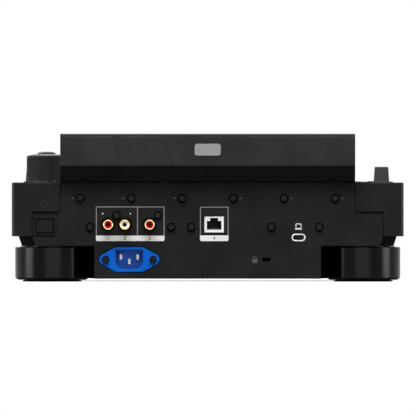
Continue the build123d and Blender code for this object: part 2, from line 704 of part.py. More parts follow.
def make_jog_platter():
    """Top plate of the jog wheel, stepped down under the centre display to its hub."""
    section = [
        (JOG_DISPLAY_R + 1.0, 11.5),
        (JOG_PLATE_R, 11.5),
        (JOG_PLATE_R, 9.5),
        (JOG_DISPLAY_R + 3.5, 9.5),
        (JOG_DISPLAY_R + 3.5, 1.5),
        (HUB_R[1], 1.5),
        (HUB_R[1], -14.0),
        (HUB_R[0], -14.0),
        (HUB_R[0], 3.8),
        (JOG_DISPLAY_R + 1.0, 3.8),
    ]
    return turned(section, 0, JOG_Y, PANEL_Z)


def make_jog_encoder_disc():
    """Slotted disc on a skirt under the jog plate, read by the optical sensor."""
    skirt_r = JOG_PLATE_R - 4.4
    section = [
        (skirt_r - 8.0, -12.0),
        (skirt_r, -12.0),
        (skirt_r, 9.2),
        (skirt_r - 1.6, 9.2),
        (skirt_r - 1.6, -10.8),
        (skirt_r - 8.0, -10.8),
    ]
    disc = turned(section, 0, JOG_Y, PANEL_Z)
    slits = []
    for k in range(ENCODER_SLITS):
        turn = Rot(0, 0, 360 * k / ENCODER_SLITS)
        slit = Pos(skirt_r - 5.6, 0, -11.4) * Box(2.8, 1.6, 3.0)
        slits.append(Pos(0, JOG_Y, PANEL_Z) * turn * slit)
    return disc - slits


def make_jog_bearing():
    """Bush that carries the hub: it slides down the spindle when the wheel is pressed."""
    section = [
        (BUSH_R[0], -15.5),
        (HUB_R[1] + 1.6, -15.5),
        (HUB_R[1] + 1.6, -14.3),
        (BUSH_R[1], -14.3),
        (BUSH_R[1], 3.4),
        (BUSH_R[0], 3.4),
    ]
    return turned(section, 0, JOG_Y, PANEL_Z)


def make_jog_base():
    """Fixed dish under the jog wheel, with the spindle tube and the walls that meet the panel."""
    floor_z = -24.0
    section = [
        (SPINDLE_R[0], floor_z),
        (JOG_BASE_R, floor_z),
        (JOG_BASE_R, -PANEL_T),
        (JOG_BASE_R - 2.6, -PANEL_T),
        (JOG_BASE_R - 2.6, floor_z + 2.6),
        (JOG_R - 1.6, floor_z + 2.6),
        (JOG_R - 1.6, -PANEL_T),
        (JOG_R - 4.2, -PANEL_T),
        (JOG_R - 4.2, floor_z + 2.6),
        (HUB_R[1] + 1.6, floor_z + 2.6),
        (HUB_R[1] + 1.6, -15.5 - JOG_PRESS - SEAM),
        (SPINDLE_R[1], -15.5 - JOG_PRESS - SEAM),
        (SPINDLE_R[1], 4.4),
        (SPINDLE_R[0], 4.4),
    ]
    return turned(section, 0, JOG_Y, PANEL_Z)


def make_jog_light_ring():
    """Clear ring in the panel round the jog wheel, with a dust lip under its inner edge."""
    section = [
        (JOG_PLATE_R + 6.0, -PANEL_T),
        (LIGHT_RING_R, -PANEL_T),
        (LIGHT_RING_R, 0.2),
        (JOG_PLATE_R + 6.0, 0.2),
    ]
    return turned(section, 0, JOG_Y, PANEL_Z)


def make_jog_display():
    """Round centre display, fixed on the spindle tube with a collar inside it."""
    section = [
        (0, 11.2),
        (JOG_DISPLAY_R - 4.3, 11.2),
        (JOG_DISPLAY_R - 3.7, 11.8),
        (JOG_DISPLAY_R - 0.5, 11.8),
        (JOG_DISPLAY_R, 11.3),
        (JOG_DISPLAY_R, 4.7),
        (SPINDLE_R[0] - SEAM, 4.7),
        (SPINDLE_R[0] - SEAM, -6.0),
        (SPINDLE_R[0] - 3.0, -6.0),
        (SPINDLE_R[0] - 3.0, 4.7),
        (0, 4.7),
    ]
    return turned(section, 0, JOG_Y, PANEL_Z)


# ---------------------------------------------------------------- rotary selector and knobs
SELECTOR_R = 16.9
SELECTOR_TOP = 23.2       # height of the knob's rim over the panel
SELECTOR_PUSH = 1.0
ROTOR_R = (3.2, 4.0)
BUSHING_R = (4.1, 5.6)


def make_selector_knob():
    """Big browse knob: a knurled drum with a domed cap and a shaft that slides in the rotor."""
    base = SELECTOR_PUSH + SEAM
    section = [
        (0, 8.5),
        (4.6, 8.5),
        (4.6, 12.5),
        (SELECTOR_R - 3.0, 12.5),
        (SELECTOR_R - 3.0, base),
        (SELECTOR_R, base),
        (SELECTOR_R, SELECTOR_TOP - 1.0),
        (SELECTOR_R - 1.0, SELECTOR_TOP),
        (7.9, SELECTOR_TOP + 1.3),
        (7.6, SELECTOR_TOP + 2.0),
        (6.0, SELECTOR_TOP + 2.8),
        (3.2, SELECTOR_TOP + 3.2),
        (0, SELECTOR_TOP + 3.3),
    ]
    knob = turned(section, SELECTOR_X, SELECTOR_Y, PANEL_Z)
    grooves = []
    count = 48
    for k in range(count):
        turn = Rot(0, 0, 360 * k / count)
        groove = Pos(SELECTOR_R + 0.35, 0, 13.0) * Cylinder(0.75, 16.0)
        grooves.append(Pos(SELECTOR_X, SELECTOR_Y, PANEL_Z) * turn * groove)
    shaft = post(SELECTOR_X, SELECTOR_Y, PANEL_Z + 1.6, PANEL_Z + 9.0, ROTOR_R[0] - 0.1)
    return join([knob - grooves, shaft])


def make_selector_rotor():
    """Sleeve of the encoder that turns with the selector's shaft."""
    top = 8.5 - SELECTOR_PUSH - SEAM
    sleeve = ring(SELECTOR_X, SELECTOR_Y, UNDER_Z - 1.2, PANEL_Z + top, ROTOR_R[1], ROTOR_R[0])
    floor = post(SELECTOR_X, SELECTOR_Y, UNDER_Z - 1.2, UNDER_Z - 0.4, ROTOR_R[1])
    return join([sleeve, floor])


KNOB_R = 7.2
KNOB_H = 12.5
POT_SHAFT_R = 3.0


def make_adjust_knob(x):
    """Small fluted knob with a pointer groove and the shaft that it turns."""
    section = [
        (0, 0.8),
        (KNOB_R, 0.8),
        (KNOB_R - 0.9, KNOB_H - 0.7),
        (KNOB_R - 1.6, KNOB_H),
        (0, KNOB_H),
    ]
    knob = turned(section, x, KNOB_Y, PANEL_Z)
    flutes = []
    count = 18
    for k in range(count):
        turn = Rot(0, 0, 360 * (k + 0.5) / count)
        flute = Pos(KNOB_R + 0.3, 0, 7.2) * Cylinder(0.8, 8.0)
        flutes.append(Pos(x, KNOB_Y, PANEL_Z) * turn * flute)
    pointer = block(x - 0.5, x + 0.5, KNOB_Y + 1.0, KNOB_Y + 8, PANEL_Z + KNOB_H - 0.5, PANEL_Z + 20)
    shaft = post(x, KNOB_Y, BOARD_TOP_Z + 3.0, PANEL_Z + 1.0, POT_SHAFT_R)
    return join([knob - flutes - pointer, shaft])


# ---------------------------------------------------------------- tempo fader
FADER_CAP = (19.0, 15.0, 14.0)
CARRIAGE = (12.0, 14.0, 6.0)
RAIL_R = 1.5
RAIL_GAP = 3.6
FADER_TOP_Z = UNDER_Z - SEAM
FADER_FLOOR_Z = FADER_TOP_Z - 16.0
RAIL_Z = FADER_FLOOR_Z + 6.5


def make_tempo_fader():
    """Fader frame: a long metal trough under the panel with two rails for the carriage."""
    half_l = FADER_TRAVEL / 2 + CARRIAGE[1] / 2 + 5.0
    half_w = 9.5
    trough = block(
        FADER_X - half_w, FADER_X + half_w, FADER_Y - half_l, FADER_Y + half_l, FADER_FLOOR_Z, FADER_TOP_Z
    )
    hollow = block(
        FADER_X - half_w + 1.2,
        FADER_X + half_w - 1.2,
        FADER_Y - half_l + 2.0,
        FADER_Y + half_l - 2.0,
        FADER_FLOOR_Z + 1.2,
        FADER_TOP_Z - 1.2,
    )
    slot = Pos(FADER_X, FADER_Y, FADER_TOP_Z - 2) * extrude(
        SlotOverall(FADER_SLOT_L, FADER_SLOT_W, rotation=90), 3
    )
    rails = [
        rod_y(FADER_X + s * RAIL_GAP, RAIL_Z, FADER_Y - half_l + 1, FADER_Y + half_l - 1, RAIL_R)
        for s in (-1, 1)
    ]
    return join([trough - hollow - slot, *rails])


def make_tempo_slider():
    """Fader cap with a raised centre bar, on a blade that ends in the sliding carriage."""
    w, d, h = FADER_CAP
    base = 1.4
    side = [(-d / 2, base), (d / 2, base), (d / 2 - 1.6, h - 1.6), (2.0, h - 3.4), (1.1, h)]
    outline = side + [(-y, z) for y, z in reversed(side[2:])]
    cap = prism_x([(FADER_Y + y, PANEL_Z + z) for y, z in outline], FADER_X - w / 2, FADER_X + w / 2)
    blade_w, blade_d = FADER_STEM
    blade = block(
        FADER_X - blade_w / 2,
        FADER_X + blade_w / 2,
        FADER_Y - blade_d / 2,
        FADER_Y + blade_d / 2,
        RAIL_Z + 2,
        PANEL_Z + base + 1,
    )
    cw, cd, ch = CARRIAGE
    carriage = Pos(FADER_X, FADER_Y, RAIL_Z) * Box(cw, cd, ch)
    bores = [
        rod_y(FADER_X + side * RAIL_GAP, RAIL_Z, FADER_Y - cd, FADER_Y + cd, RAIL_R + 0.1)
        for side in (-1, 1)
    ]
    return join([cap, blade, carriage - bores])


# ---------------------------------------------------------------- direction lever
LEVER_AXIS_Z = PANEL_Z - 6.5
DRUM_R = 7.0
LEVER_TOP = 13.8
LEVER_PIN_R = 1.5


def make_direction_lever():
    """Three-way lever: a wedge-shaped cap on a small drum that turns on two pins."""
    face = [(-6.65, 1.0), (6.65, 1.0), (5.8, LEVER_TOP), (-5.8, LEVER_TOP)]
    cap = prism_y([(LEVER_X + x, PANEL_Z + z) for x, z in face], LEVER_Y - 5, LEVER_Y + 5)
    flank = [(-4.2, 0), (4.2, 0), (2.9, LEVER_TOP + 1), (-2.9, LEVER_TOP + 1)]
    cap &= prism_x([(LEVER_Y + y, PANEL_Z + z) for y, z in flank], LEVER_X - 10, LEVER_X + 10)
    cap = fillet(top_edges(cap), 0.8)
    drum = rod_x(LEVER_Y, LEVER_AXIS_Z, LEVER_X - 6.2, LEVER_X + 6.2, DRUM_R)
    stem = block(LEVER_X - 6.2, LEVER_X + 6.2, LEVER_Y - 3, LEVER_Y + 3, LEVER_AXIS_Z, PANEL_Z + 2)
    pins = rod_x(LEVER_Y, LEVER_AXIS_Z, LEVER_X - 9.0, LEVER_X + 9.0, LEVER_PIN_R)
    return join([cap, drum, stem, pins])


# ---------------------------------------------------------------- power button
POWER_TRAVEL = 3.0
POWER_PROUD = 0.5
POWER_THROAT = (0.8, 4.1)
POWER_FLANGE_T = 1.0
POWER_STEM = (2.4, 10.0)
POWER_WALL = 0.6


def make_power_button():
    """Push button in the rear panel: its face, a thin flange and the stem to the switch."""
    w, h = POWER_FACE
    flange_y = REAR_Y - POWER_THROAT[1] - SEAM
    face = rear_cut(RectangleRounded(w, h, 0.6), POWER_X, POWER_Z, flange_y - 0.1, REAR_Y + POWER_PROUD)
    face = fillet(face.edges().group_by(Axis.Y)[-1], 0.35)
    flange_shape = Rectangle(w + 1.4, h + 1.0)
    flange = rear_cut(flange_shape, POWER_X, POWER_Z, flange_y - POWER_FLANGE_T, flange_y)
    stem_r, stem_l = POWER_STEM
    stem = rod_y(POWER_X, POWER_Z, flange_y - POWER_FLANGE_T - stem_l, flange_y, stem_r)
    return join([face, flange, stem])


def make_power_switch():
    """Fixed surround of the power button, with the switch box behind it."""
    w, h = POWER_FACE
    outer = Rectangle(POWER_FRAME[0] - 1.2, POWER_FRAME[1] - 1.2)
    chamber = Rectangle(POWER_FRAME[0] - 1.2 - 2 * POWER_WALL, POWER_FRAME[1] - 1.2 - 2 * POWER_WALL)
    window = RectangleRounded(w + 2.0, h + 2.0, 0.8)
    flange_y = REAR_Y - POWER_THROAT[1] - SEAM
    chamber_end = flange_y - POWER_FLANGE_T - POWER_TRAVEL - SEAM
    bore_end = chamber_end - POWER_STEM[1] - 1.0
    frame = RectangleRounded(*POWER_FRAME, 0.8)
    surround = rear_cut(frame - window, POWER_X, POWER_Z, REAR_Y, REAR_Y + 0.8)
    box = rear_cut(outer, POWER_X, POWER_Z, bore_end - 1.5, REAR_Y)
    box -= rear_cut(window, POWER_X, POWER_Z, REAR_Y - POWER_THROAT[0], REAR_Y + 1)
    box -= rear_cut(Rectangle(w + 0.6, h + 0.6), POWER_X, POWER_Z, REAR_Y - 6, REAR_Y + 1)
    box -= rear_cut(chamber, POWER_X, POWER_Z, chamber_end, REAR_Y - POWER_THROAT[1])
    box -= rod_y(POWER_X, POWER_Z, bore_end, REAR_Y - 5, POWER_STEM[0] + SEAM)
    return join([surround, box])


# ---------------------------------------------------------------- sockets
JACK_BARREL_R = 4.15
JACK_BARREL_L = 9.0
CONTACT_R = 1.65          # hole for the plug's centre pin
CONTACT_FLOOR = 0.5
INSERT_DROP = 0.6         # insert's face, inside the barrel's end
JACK_BODY_Y = REAR_Y - SHEET_T - SEAM


def phono_socket(x):
    """One phono socket: dished collar, plated barrel, coloured insert and centre contact hole."""
    section = [
        (0, -4.0),
        (JACK_COLLAR_R, -4.0),
        (JACK_COLLAR_R, 0.3),
        (JACK_COLLAR_R - 0.4, 0.3),
        (JACK_BARREL_R + 0.5, -1.1),
        (JACK_BARREL_R, -1.1),
        (JACK_BARREL_R, JACK_BARREL_L - 0.3),
        (JACK_BARREL_R - 0.3, JACK_BARREL_L),
        (3.35, JACK_BARREL_L),
        (3.3, JACK_BARREL_L - INSERT_DROP),
        (CONTACT_R, JACK_BARREL_L - INSERT_DROP),
        (CONTACT_R, CONTACT_FLOOR),
        (0, CONTACT_FLOOR),
    ]
    upright = turned(section)
    return Pos(x, REAR_Y, JACK_Z) * Rot(-90, 0, 0) * upright


def make_audio_jacks():
    """Stereo phono block and the single digital phono block, each on its own moulded body."""
    body_y = (JACK_BODY_Y - 13, JACK_BODY_Y)
    z = (MAIN_BOARD_Z + BOARD_T + SEAM, JACK_Z + 11.5)
    pair = [block(AUDIO_X[1] - 7.4, AUDIO_X[0] + 7.4, *body_y, *z), *map(phono_socket, AUDIO_X)]
    single = [block(DIGITAL_X - 8.6, DIGITAL_X + 7.4, *body_y, *z), phono_socket(DIGITAL_X)]
    holes = [rod_y(x, hz, JACK_BODY_Y - 4, JACK_BODY_Y + 1, SCREW_HOLE_R) for x, hz in JACK_SCREWS]
    return Compound([join(pair) - holes[0], join(single) - holes[1]])


def make_network_jack():
    """Shielded network socket with its latch notch on top and eight contacts inside."""
    w, h = NETWORK_SIZE
    mouth_y = REAR_Y + 0.2
    shell = rear_cut(Rectangle(w, h), NETWORK_X, NETWORK_Z, mouth_y - 20, mouth_y)
    cavity = Pos(0, -0.7) * Rectangle(12.2, 7.4) + Pos(0, 4.0) * Rectangle(6.6, 3.2)
    shell -= rear_cut(cavity, NETWORK_X, NETWORK_Z, mouth_y - 15, mouth_y + 1)
    windows = [Pos(side * 6.0, 4.6) * Rectangle(2.6, 2.2) for side in (-1, 1)]
    for window in windows:
        shell -= rear_cut(window, NETWORK_X, NETWORK_Z, mouth_y - 0.3, mouth_y + 1)
    contacts = []
    for k in range(8):
        pin_x = NETWORK_X + (k - 3.5) * 1.02
        foot_z = NETWORK_Z - 4.5
        contacts.append(block(pin_x - 0.2, pin_x + 0.2, mouth_y - 15.5, mouth_y - 9, foot_z, foot_z + 1.6))
    return join([shell, *contacts])


def usb_c_receptacle():
    """Small oval port with its tongue, opening towards +Z at the origin."""
    shell = extrude(SlotOverall(8.9, 3.3), -7.0)
    shell -= Pos(0, 0, -6.0) * extrude(SlotOverall(8.3, 2.7), 7.0)
    tongue = Pos(0, 0, -6.5) * extrude(Rectangle(6.6, 0.7), 6.0)
    return join([shell, tongue])


def usb_a_receptacle():
    """Flat port with its tongue, opening towards +Z at the origin."""
    shell = extrude(Rectangle(*[s - 0.7 for s in USB_A_MOUTH]), -14.0)
    shell -= Pos(0, 0, -13.0) * extrude(Rectangle(11.9, 4.5), 14.0)
    tongue = Pos(0, 0.9, -13.5) * extrude(Rectangle(11.0, 1.6), 12.0)
    return join([shell, tongue])


def make_usb_ports():
    """The flat and the oval port in the panel's left strip, and the oval one at the rear."""
    flat = Pos(PORT_X, USB_A_Y, PANEL_Z - 0.4) * usb_a_receptacle()
    oval = Pos(PORT_X, USB_C_Y, PANEL_Z - 0.4) * usb_c_receptacle()
    rear = Pos(USB_PORT_X, REAR_Y - 0.4, USB_PORT_Z) * Rot(-90, 0, 0) * usb_c_receptacle()
    return Compound([flat, oval, rear])


def make_power_inlet():
    """Mains inlet: flange, box with its keyed recess, and three blades in it."""
    face_y = REAR_Y - FLANGE_DEPTH
    seat_y = face_y - INLET_FLANGE_T
    flange = rear_cut(inlet_flange(), INLET_X, INLET_Z, seat_y, face_y)
    flange = chamfer(flange.edges().group_by(Axis.Y)[-1], 0.35)
    body = rear_cut(Rectangle(*INLET_BODY), INLET_X, INLET_Z, face_y - 24, face_y - 0.5)
    w, h, cut = 23.2, 16.0, 4.6
    mouth = Polygon(
        (-w / 2, h / 2), (-w / 2, -h / 2 + cut), (-w / 2 + cut, -h / 2), (w / 2 - cut, -h / 2),
        (w / 2, -h / 2 + cut), (w / 2, h / 2), align=None,
    )
    shape = flange.fuse(body)
    shape -= rear_cut(mouth, INLET_X, INLET_Z, face_y - 17, face_y + 1)
    for side in (-1, 1):
        hole_x = INLET_X + side * INLET_PITCH / 2
        shape -= rear_cut(Circle(SCREW_HOLE_R), hole_x, INLET_Z, seat_y - 1, face_y + 1)
    blades = []
    for dx, dz in ((-7.0, 2.0), (7.0, 2.0), (0.0, -2.0)):
        blade = rear_cut(Rectangle(2.0, 4.4), INLET_X + dx, INLET_Z + dz, face_y - 18, face_y - 2.5)
        blades.append(blade)
    return join([shape, *blades])


# ---------------------------------------------------------------- boards
def switch_under(x, y):
    """Tact switch on a control board."""
    base = block(x - 3, x + 3, y - 3, y + 3, BOARD_TOP_Z - 0.1, BOARD_TOP_Z + SWITCH_H - 1)
    return base.fuse(post(x, y, BOARD_TOP_Z + 1, BOARD_TOP_Z + SWITCH_H, 1.7))


def pot_under(x, y):
    """Rotary potentiometer with a bushing that guides the knob's shaft."""
    base = block(x - 5.5, x + 5.5, y - 5.5, y + 5.5, BOARD_TOP_Z - 0.1, BOARD_TOP_Z + 6)
    bushing = post(x, y, BOARD_TOP_Z + 5, UNDER_Z - 0.6, POT_SHAFT_R + 1.2)
    bore = post(x, y, BOARD_TOP_Z + 2.6, UNDER_Z + 1, POT_SHAFT_R + 0.1)
    return base.fuse(bushing) - bore


def encoder_under(x, y):
    """Rotary encoder with the bushing that its rotor turns in."""
    base = block(x - 7, x + 7, y - 7, y + 7, BOARD_TOP_Z - 0.1, BOARD_TOP_Z + 7)
    bushing = post(x, y, BOARD_TOP_Z + 6, PANEL_Z + 2.0, BUSHING_R[1])
    bore = post(x, y, UNDER_Z - 1.5, PANEL_Z + 3, BUSHING_R[0])
    return base.fuse(bushing) - bore


def lever_bracket():
    """Switch box with two ears that hold the lever's pins."""
    base = block(LEVER_X - 9, LEVER_X + 9, LEVER_Y - 9, LEVER_Y + 9, BOARD_TOP_Z - 5, BOARD_TOP_Z - 4)
    ears = []
    for side in (-1, 1):
        inner = 6.6
        x0, x1 = sorted((LEVER_X + side * inner, LEVER_X + side * 9))
        ear = block(x0, x1, LEVER_Y - 4, LEVER_Y + 4, BOARD_TOP_Z - 4.5, LEVER_AXIS_Z + 2.0)
        ears.append(ear)
    bracket = join([base, *ears])
    return bracket - rod_x(LEVER_Y, LEVER_AXIS_Z, LEVER_X - 12, LEVER_X + 12, LEVER_PIN_R + 0.1)


def encoder_sensor():
    """Optical fork on the floor of the jog base, astride the slotted disc."""
    y = JOG_Y - (JOG_PLATE_R - 4.4)
    low = block(-4.5, 4.5, y + 3.6, y + 17.6, PANEL_Z - 21.4, PANEL_Z - 12.9)
    spine = block(-4.5, 4.5, y + 8.6, y + 17.6, PANEL_Z - 13, PANEL_Z - 7)
    jaw = block(-4.5, 4.5, y + 3.6, y + 17.6, PANEL_Z - 9.9, PANEL_Z - 7)
    return join([low, spine, jaw])


def menu_board():
    """Narrow board with six switches, hung under the bezel behind the menu keys."""
    sheet = Pos(0, MENU_KEY_V - 0.3, -7.2) * extrude(Rectangle(212, 5.4), 1.2)
    nubs = [post(key.x, key.y, -6.1, -4.3, 1.6) for key in MENU_KEYS]
    hangers = [post(k * 36.0, MENU_KEY_V, -6.1, -BEZEL_T, 1.6) for k in range(-2, 3)]
    return HEAD_PLANE * join([sheet, *nubs, *hangers])


def board(x0, x1, y0, y1, parts, hangers):
    """Control board with its parts on top, hung from the panel by posts."""
    sheet = block(x0, x1, y0, y1, BOARD_TOP_Z - BOARD_T, BOARD_TOP_Z)
    posts = [post(x, y, BOARD_TOP_Z - 0.1, UNDER_Z, 2.4) for x, y in hangers]
    return join([sheet, *parts, *posts])


def keys_within(x0, x1, y0, y1):
    """Every key of the control panel whose centre lies over a board."""
    keys = list(SINGLE_KEYS.values())
    for group in GANGED_KEYS.values():
        keys += group
    return [switch_under(k.x, k.y) for k in keys if x0 < k.x < x1 and y0 < k.y < y1]


def make_control_boards():
    """Boards under the panel: transport side, tempo side, hot cues, and the two by the display."""
    row_half = abs(SINGLE_KEYS["hot_cue_1"].x) + HOT_CUE_SIZE[0] / 2 + 4.0
    inner = max(JOG_BASE_R + 1.5, row_half + 2.5)
    outer = EDGE_X - COVER_RIM - COVER_LEDGE - 1.5
    row_back = DISPLAY_FRONT_Y - 4.0
    row_front = SECOND_ROW_Y - 8.0
    boards = []

    left = (-outer, -inner, FRONT_Y + 11, row_back)
    lever_bay = block(
        LEVER_X - 9.6, LEVER_X + 9.6, LEVER_Y - 9.6, LEVER_Y + 9.6, BOARD_TOP_Z - 9, BOARD_TOP_Z + 1
    )
    left_hangers = [(-inner - 3, FRONT_Y + 14), (-inner - 3, row_back - 3), (-inner - 3, LEVER_Y)]
    left_board = board(*left, keys_within(*left), left_hangers) - lever_bay
    bracket = lever_bracket()
    strap = block(LEVER_X + 8, LEVER_X + 11, LEVER_Y - 3, LEVER_Y + 3, BOARD_TOP_Z - 5, BOARD_TOP_Z - 4)
    riser = block(LEVER_X + 9.9, LEVER_X + 11.1, LEVER_Y - 3, LEVER_Y + 3, BOARD_TOP_Z - 5, BOARD_TOP_Z - 1)
    boards.append(join([left_board, bracket, strap, riser]))

    right = (inner, outer, SYNC_KEY_Y - 12, row_back)
    right_parts = keys_within(*right) + [pot_under(x, KNOB_Y) for x in KNOB_X]
    right_parts.append(encoder_under(SELECTOR_X, SELECTOR_Y))
    right_hangers = [(x, SYNC_KEY_Y + 15.5) for x in (inner + 3, outer - 3)]
    right_hangers.append((inner + 3, row_back - 3))
    boards.append(board(*right, right_parts, right_hangers))

    reset = SINGLE_KEYS["tempo_reset_key"]
    small = (reset.x - 8, reset.x + 8, reset.y - 10, reset.y + 10)
    boards.append(board(*small, keys_within(*small), [(reset.x, reset.y - 7.5), (reset.x, reset.y + 7.5)]))

    middle = (-row_half, row_half, row_front, row_back)
    hanger_y = HOT_CUE_Y - 11.2
    middle_hangers = [(HOT_CUE_SHIFT + k * 2 * HOT_CUE_PITCH, hanger_y) for k in range(-2, 3)]
    boards.append(board(*middle, keys_within(*middle), middle_hangers))

    strip_in = DISPLAY_W / 2 + 4.0
    far = max(key.y for key in GANGED_KEYS["mode_keys"]) + 8
    mode = (-outer, -strip_in, DISPLAY_FRONT_Y + 18, far)
    mode_hangers = [(-STRIP_X, DISPLAY_FRONT_Y + 42), (-STRIP_X, far - 18)]
    boards.append(board(*mode, keys_within(*mode), mode_hangers))
    browse = (strip_in, outer, DISPLAY_FRONT_Y + 6, DISPLAY_FRONT_Y + 52)
    browse_hangers = [(STRIP_X, DISPLAY_FRONT_Y + 28), (STRIP_X, DISPLAY_FRONT_Y + 48)]
    boards.append(board(*browse, keys_within(*browse), browse_hangers))
    port_z = PANEL_Z - 0.4 - 14.0 - SEAM
    carrier = block(-outer, -strip_in, USB_C_Y - 5, USB_A_Y + 9, port_z - BOARD_T, port_z)
    pillars = [post(x, y, port_z - 0.1, UNDER_Z, 2.2)
               for x in (-outer + 3, -strip_in - 3) for y in (USB_C_Y + 8, USB_A_Y + 6.5)]
    oval_seat = block(PORT_X - 3.5, PORT_X + 3.5, USB_C_Y - 2.5, USB_C_Y + 2.5,
                      port_z - 0.1, PANEL_Z - 0.4 - 7.0 - SEAM)
    boards.append(join([carrier, *pillars, oval_seat]))
    boards.append(encoder_sensor())
    boards.append(menu_board())
    return Compound(boards)


def chip(x, y, z, w, d, h):
    """Component standing on a board."""
    return block(x - w / 2, x + w / 2, y - d / 2, y + d / 2, z - 0.1, z + h)


def make_main_board():
    """Processor and audio board, under the sockets of the rear panel."""
    top = MAIN_BOARD_Z + BOARD_T
    sheet = block(*MAIN_BOARD_X, *MAIN_BOARD_Y, MAIN_BOARD_Z, top)
    mid_y = (MAIN_BOARD_Y[0] + MAIN_BOARD_Y[1]) / 2
    parts = [
        chip(-40, mid_y, top, 32, 32, 2.4),
        chip(-84, mid_y + 10, top, 14, 20, 1.6),
        chip(-84, mid_y - 20, top, 14, 20, 1.6),
        chip(10, mid_y - 15, top, 20, 14, 1.8),
        chip(45, mid_y + 12, top, 12, 12, 2.0),
        chip(-10, MAIN_BOARD_Y[0] + 6, top, 42, 6, 5.0),
        chip(60, MAIN_BOARD_Y[0] + 6, top, 30, 6, 5.0),
    ]
    for k in range(6):
        parts.append(post(72 + 8 * (k % 2), mid_y - 24 + 11 * (k // 2), top - 0.1, top + 9, 3.2))
    for k in range(9):
        fin_x = -54 + 3.5 * k
        parts.append(block(fin_x, fin_x + 1.2, mid_y - 15, mid_y + 15, top + 2.2, top + 12))
    return join([sheet, *parts])


def make_power_supply():
    """Mains supply in the deep tub: board, transformer, coils, capacitors and a cooling plate."""
    top = SUPPLY_Z + BOARD_T
    sheet = block(*SUPPLY_X, *SUPPLY_Y, SUPPLY_Z, top)
    x0, y0 = SUPPLY_X[0], SUPPLY_Y[0]
    parts = [
        chip(x0 + 60, y0 + 50, top, 30, 26, 22),
        chip(x0 + 98, y0 + 92, top, 18, 22, 14),
        post(x0 + 94, y0 + 58, top - 0.1, top + 24, 9.0),
        post(x0 + 72, y0 + 92, top - 0.1, top + 14, 7.0),
        block(x0 + 34, x0 + 37, y0 + 20, y0 + 92, top - 0.1, top + 24),
    ]
    for k in range(4):
        parts.append(post(x0 + 18, y0 + 24 + 18 * k, top - 0.1, top + 18, 5.0))
    return join([sheet, *parts])


# ---------------------------------------------------------------- assembly
def all_parts():
    """Every node of the player by name."""
    parts = {
        "top_cover": make_top_cover(),
        "control_panel": make_control_panel(),
        "bottom_chassis": make_bottom_chassis(),
        "rear_panel": make_rear_panel(),
        "feet": make_feet(),
        "foot_pads": make_foot_pads(),
        "screws": make_screws(),
        "display_housing": make_display_housing(),
        "display_bezel": make_display_bezel(),
        "touch_display": make_touch_display(),
        "menu_keys": make_menu_keys(),
        "jog_rim": make_jog_rim(),
        "jog_platter": make_jog_platter(),
        "jog_encoder_disc": make_jog_encoder_disc(),
        "jog_bearing": make_jog_bearing(),
        "jog_base": make_jog_base(),
        "jog_light_ring": make_jog_light_ring(),
        "jog_display": make_jog_display(),
        "selector_knob": make_selector_knob(),
        "selector_rotor": make_selector_rotor(),
        "jog_adjust_knob": make_adjust_knob(KNOB_X[1]),
        "speed_adjust_knob": make_adjust_knob(KNOB_X[0]),
        "tempo_fader": make_tempo_fader(),
        "tempo_slider": make_tempo_slider(),
        "direction_lever": make_direction_lever(),
        "power_button": make_power_button(),
        "power_switch": make_power_switch(),
        "audio_jacks": make_audio_jacks(),
        "network_jack": make_network_jack(),
        "usb_ports": make_usb_ports(),
        "power_inlet": make_power_inlet(),
        "control_boards": make_control_boards(),
        "main_board": make_main_board(),
        "power_supply": make_power_supply(),
    }
    for name, key in SINGLE_KEYS.items():
        parts[name] = key.placed()
    for name, keys in GANGED_KEYS.items():
        parts[name] = Compound([key.placed() for key in keys])
    return parts


os.makedirs("parts", exist_ok=True)
for node, shape in all_parts().items():
    solids = shape.solids()
    export_step(Compound(list(solids)) if len(solids) > 1 else solids[0], f"parts/{node}.step")
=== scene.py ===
from math import cos, radians, sin

import bmesh
import bpy
from mathutils import Matrix, Vector


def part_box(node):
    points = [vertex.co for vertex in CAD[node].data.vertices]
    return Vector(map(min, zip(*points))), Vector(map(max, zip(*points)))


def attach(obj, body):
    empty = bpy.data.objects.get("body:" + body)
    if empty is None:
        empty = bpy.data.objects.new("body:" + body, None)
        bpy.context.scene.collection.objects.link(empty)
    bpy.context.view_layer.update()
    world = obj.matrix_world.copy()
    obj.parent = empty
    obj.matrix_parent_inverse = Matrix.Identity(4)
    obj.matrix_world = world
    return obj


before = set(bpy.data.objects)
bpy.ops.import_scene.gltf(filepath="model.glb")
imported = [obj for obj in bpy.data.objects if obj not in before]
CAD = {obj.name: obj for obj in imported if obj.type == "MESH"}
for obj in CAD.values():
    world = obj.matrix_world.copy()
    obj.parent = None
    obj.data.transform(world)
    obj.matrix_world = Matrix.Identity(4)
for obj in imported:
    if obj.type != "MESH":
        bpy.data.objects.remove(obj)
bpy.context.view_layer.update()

MM = 0.001


# ------------------------------------------------------------------ camera
# A very long lens, level with the middle of the rear panel and square to it, so that the depth
# of the cabinet hardly shows.
LENS, SENSOR, VIEW_WIDTH = 1500.0, 36.0, 0.34967
REAR_Y = 214.5                          # outer face of the rear panel, in millimetres
CAMERA_X, CAMERA_Z = -0.00025, 0.06203
camera_data = bpy.data.cameras.new("camera")
camera_data.lens, camera_data.sensor_width = LENS, SENSOR
camera_data.clip_start, camera_data.clip_end = 1.0, 60.0
camera = bpy.data.objects.new("camera", camera_data)
camera.location = (CAMERA_X, REAR_Y * MM + VIEW_WIDTH * LENS / SENSOR, CAMERA_Z)
camera.rotation_euler = (radians(90), 0, radians(180))
bpy.context.scene.collection.objects.link(camera)
bpy.context.scene.camera = camera
bpy.context.scene.view_settings.view_transform = "Standard"


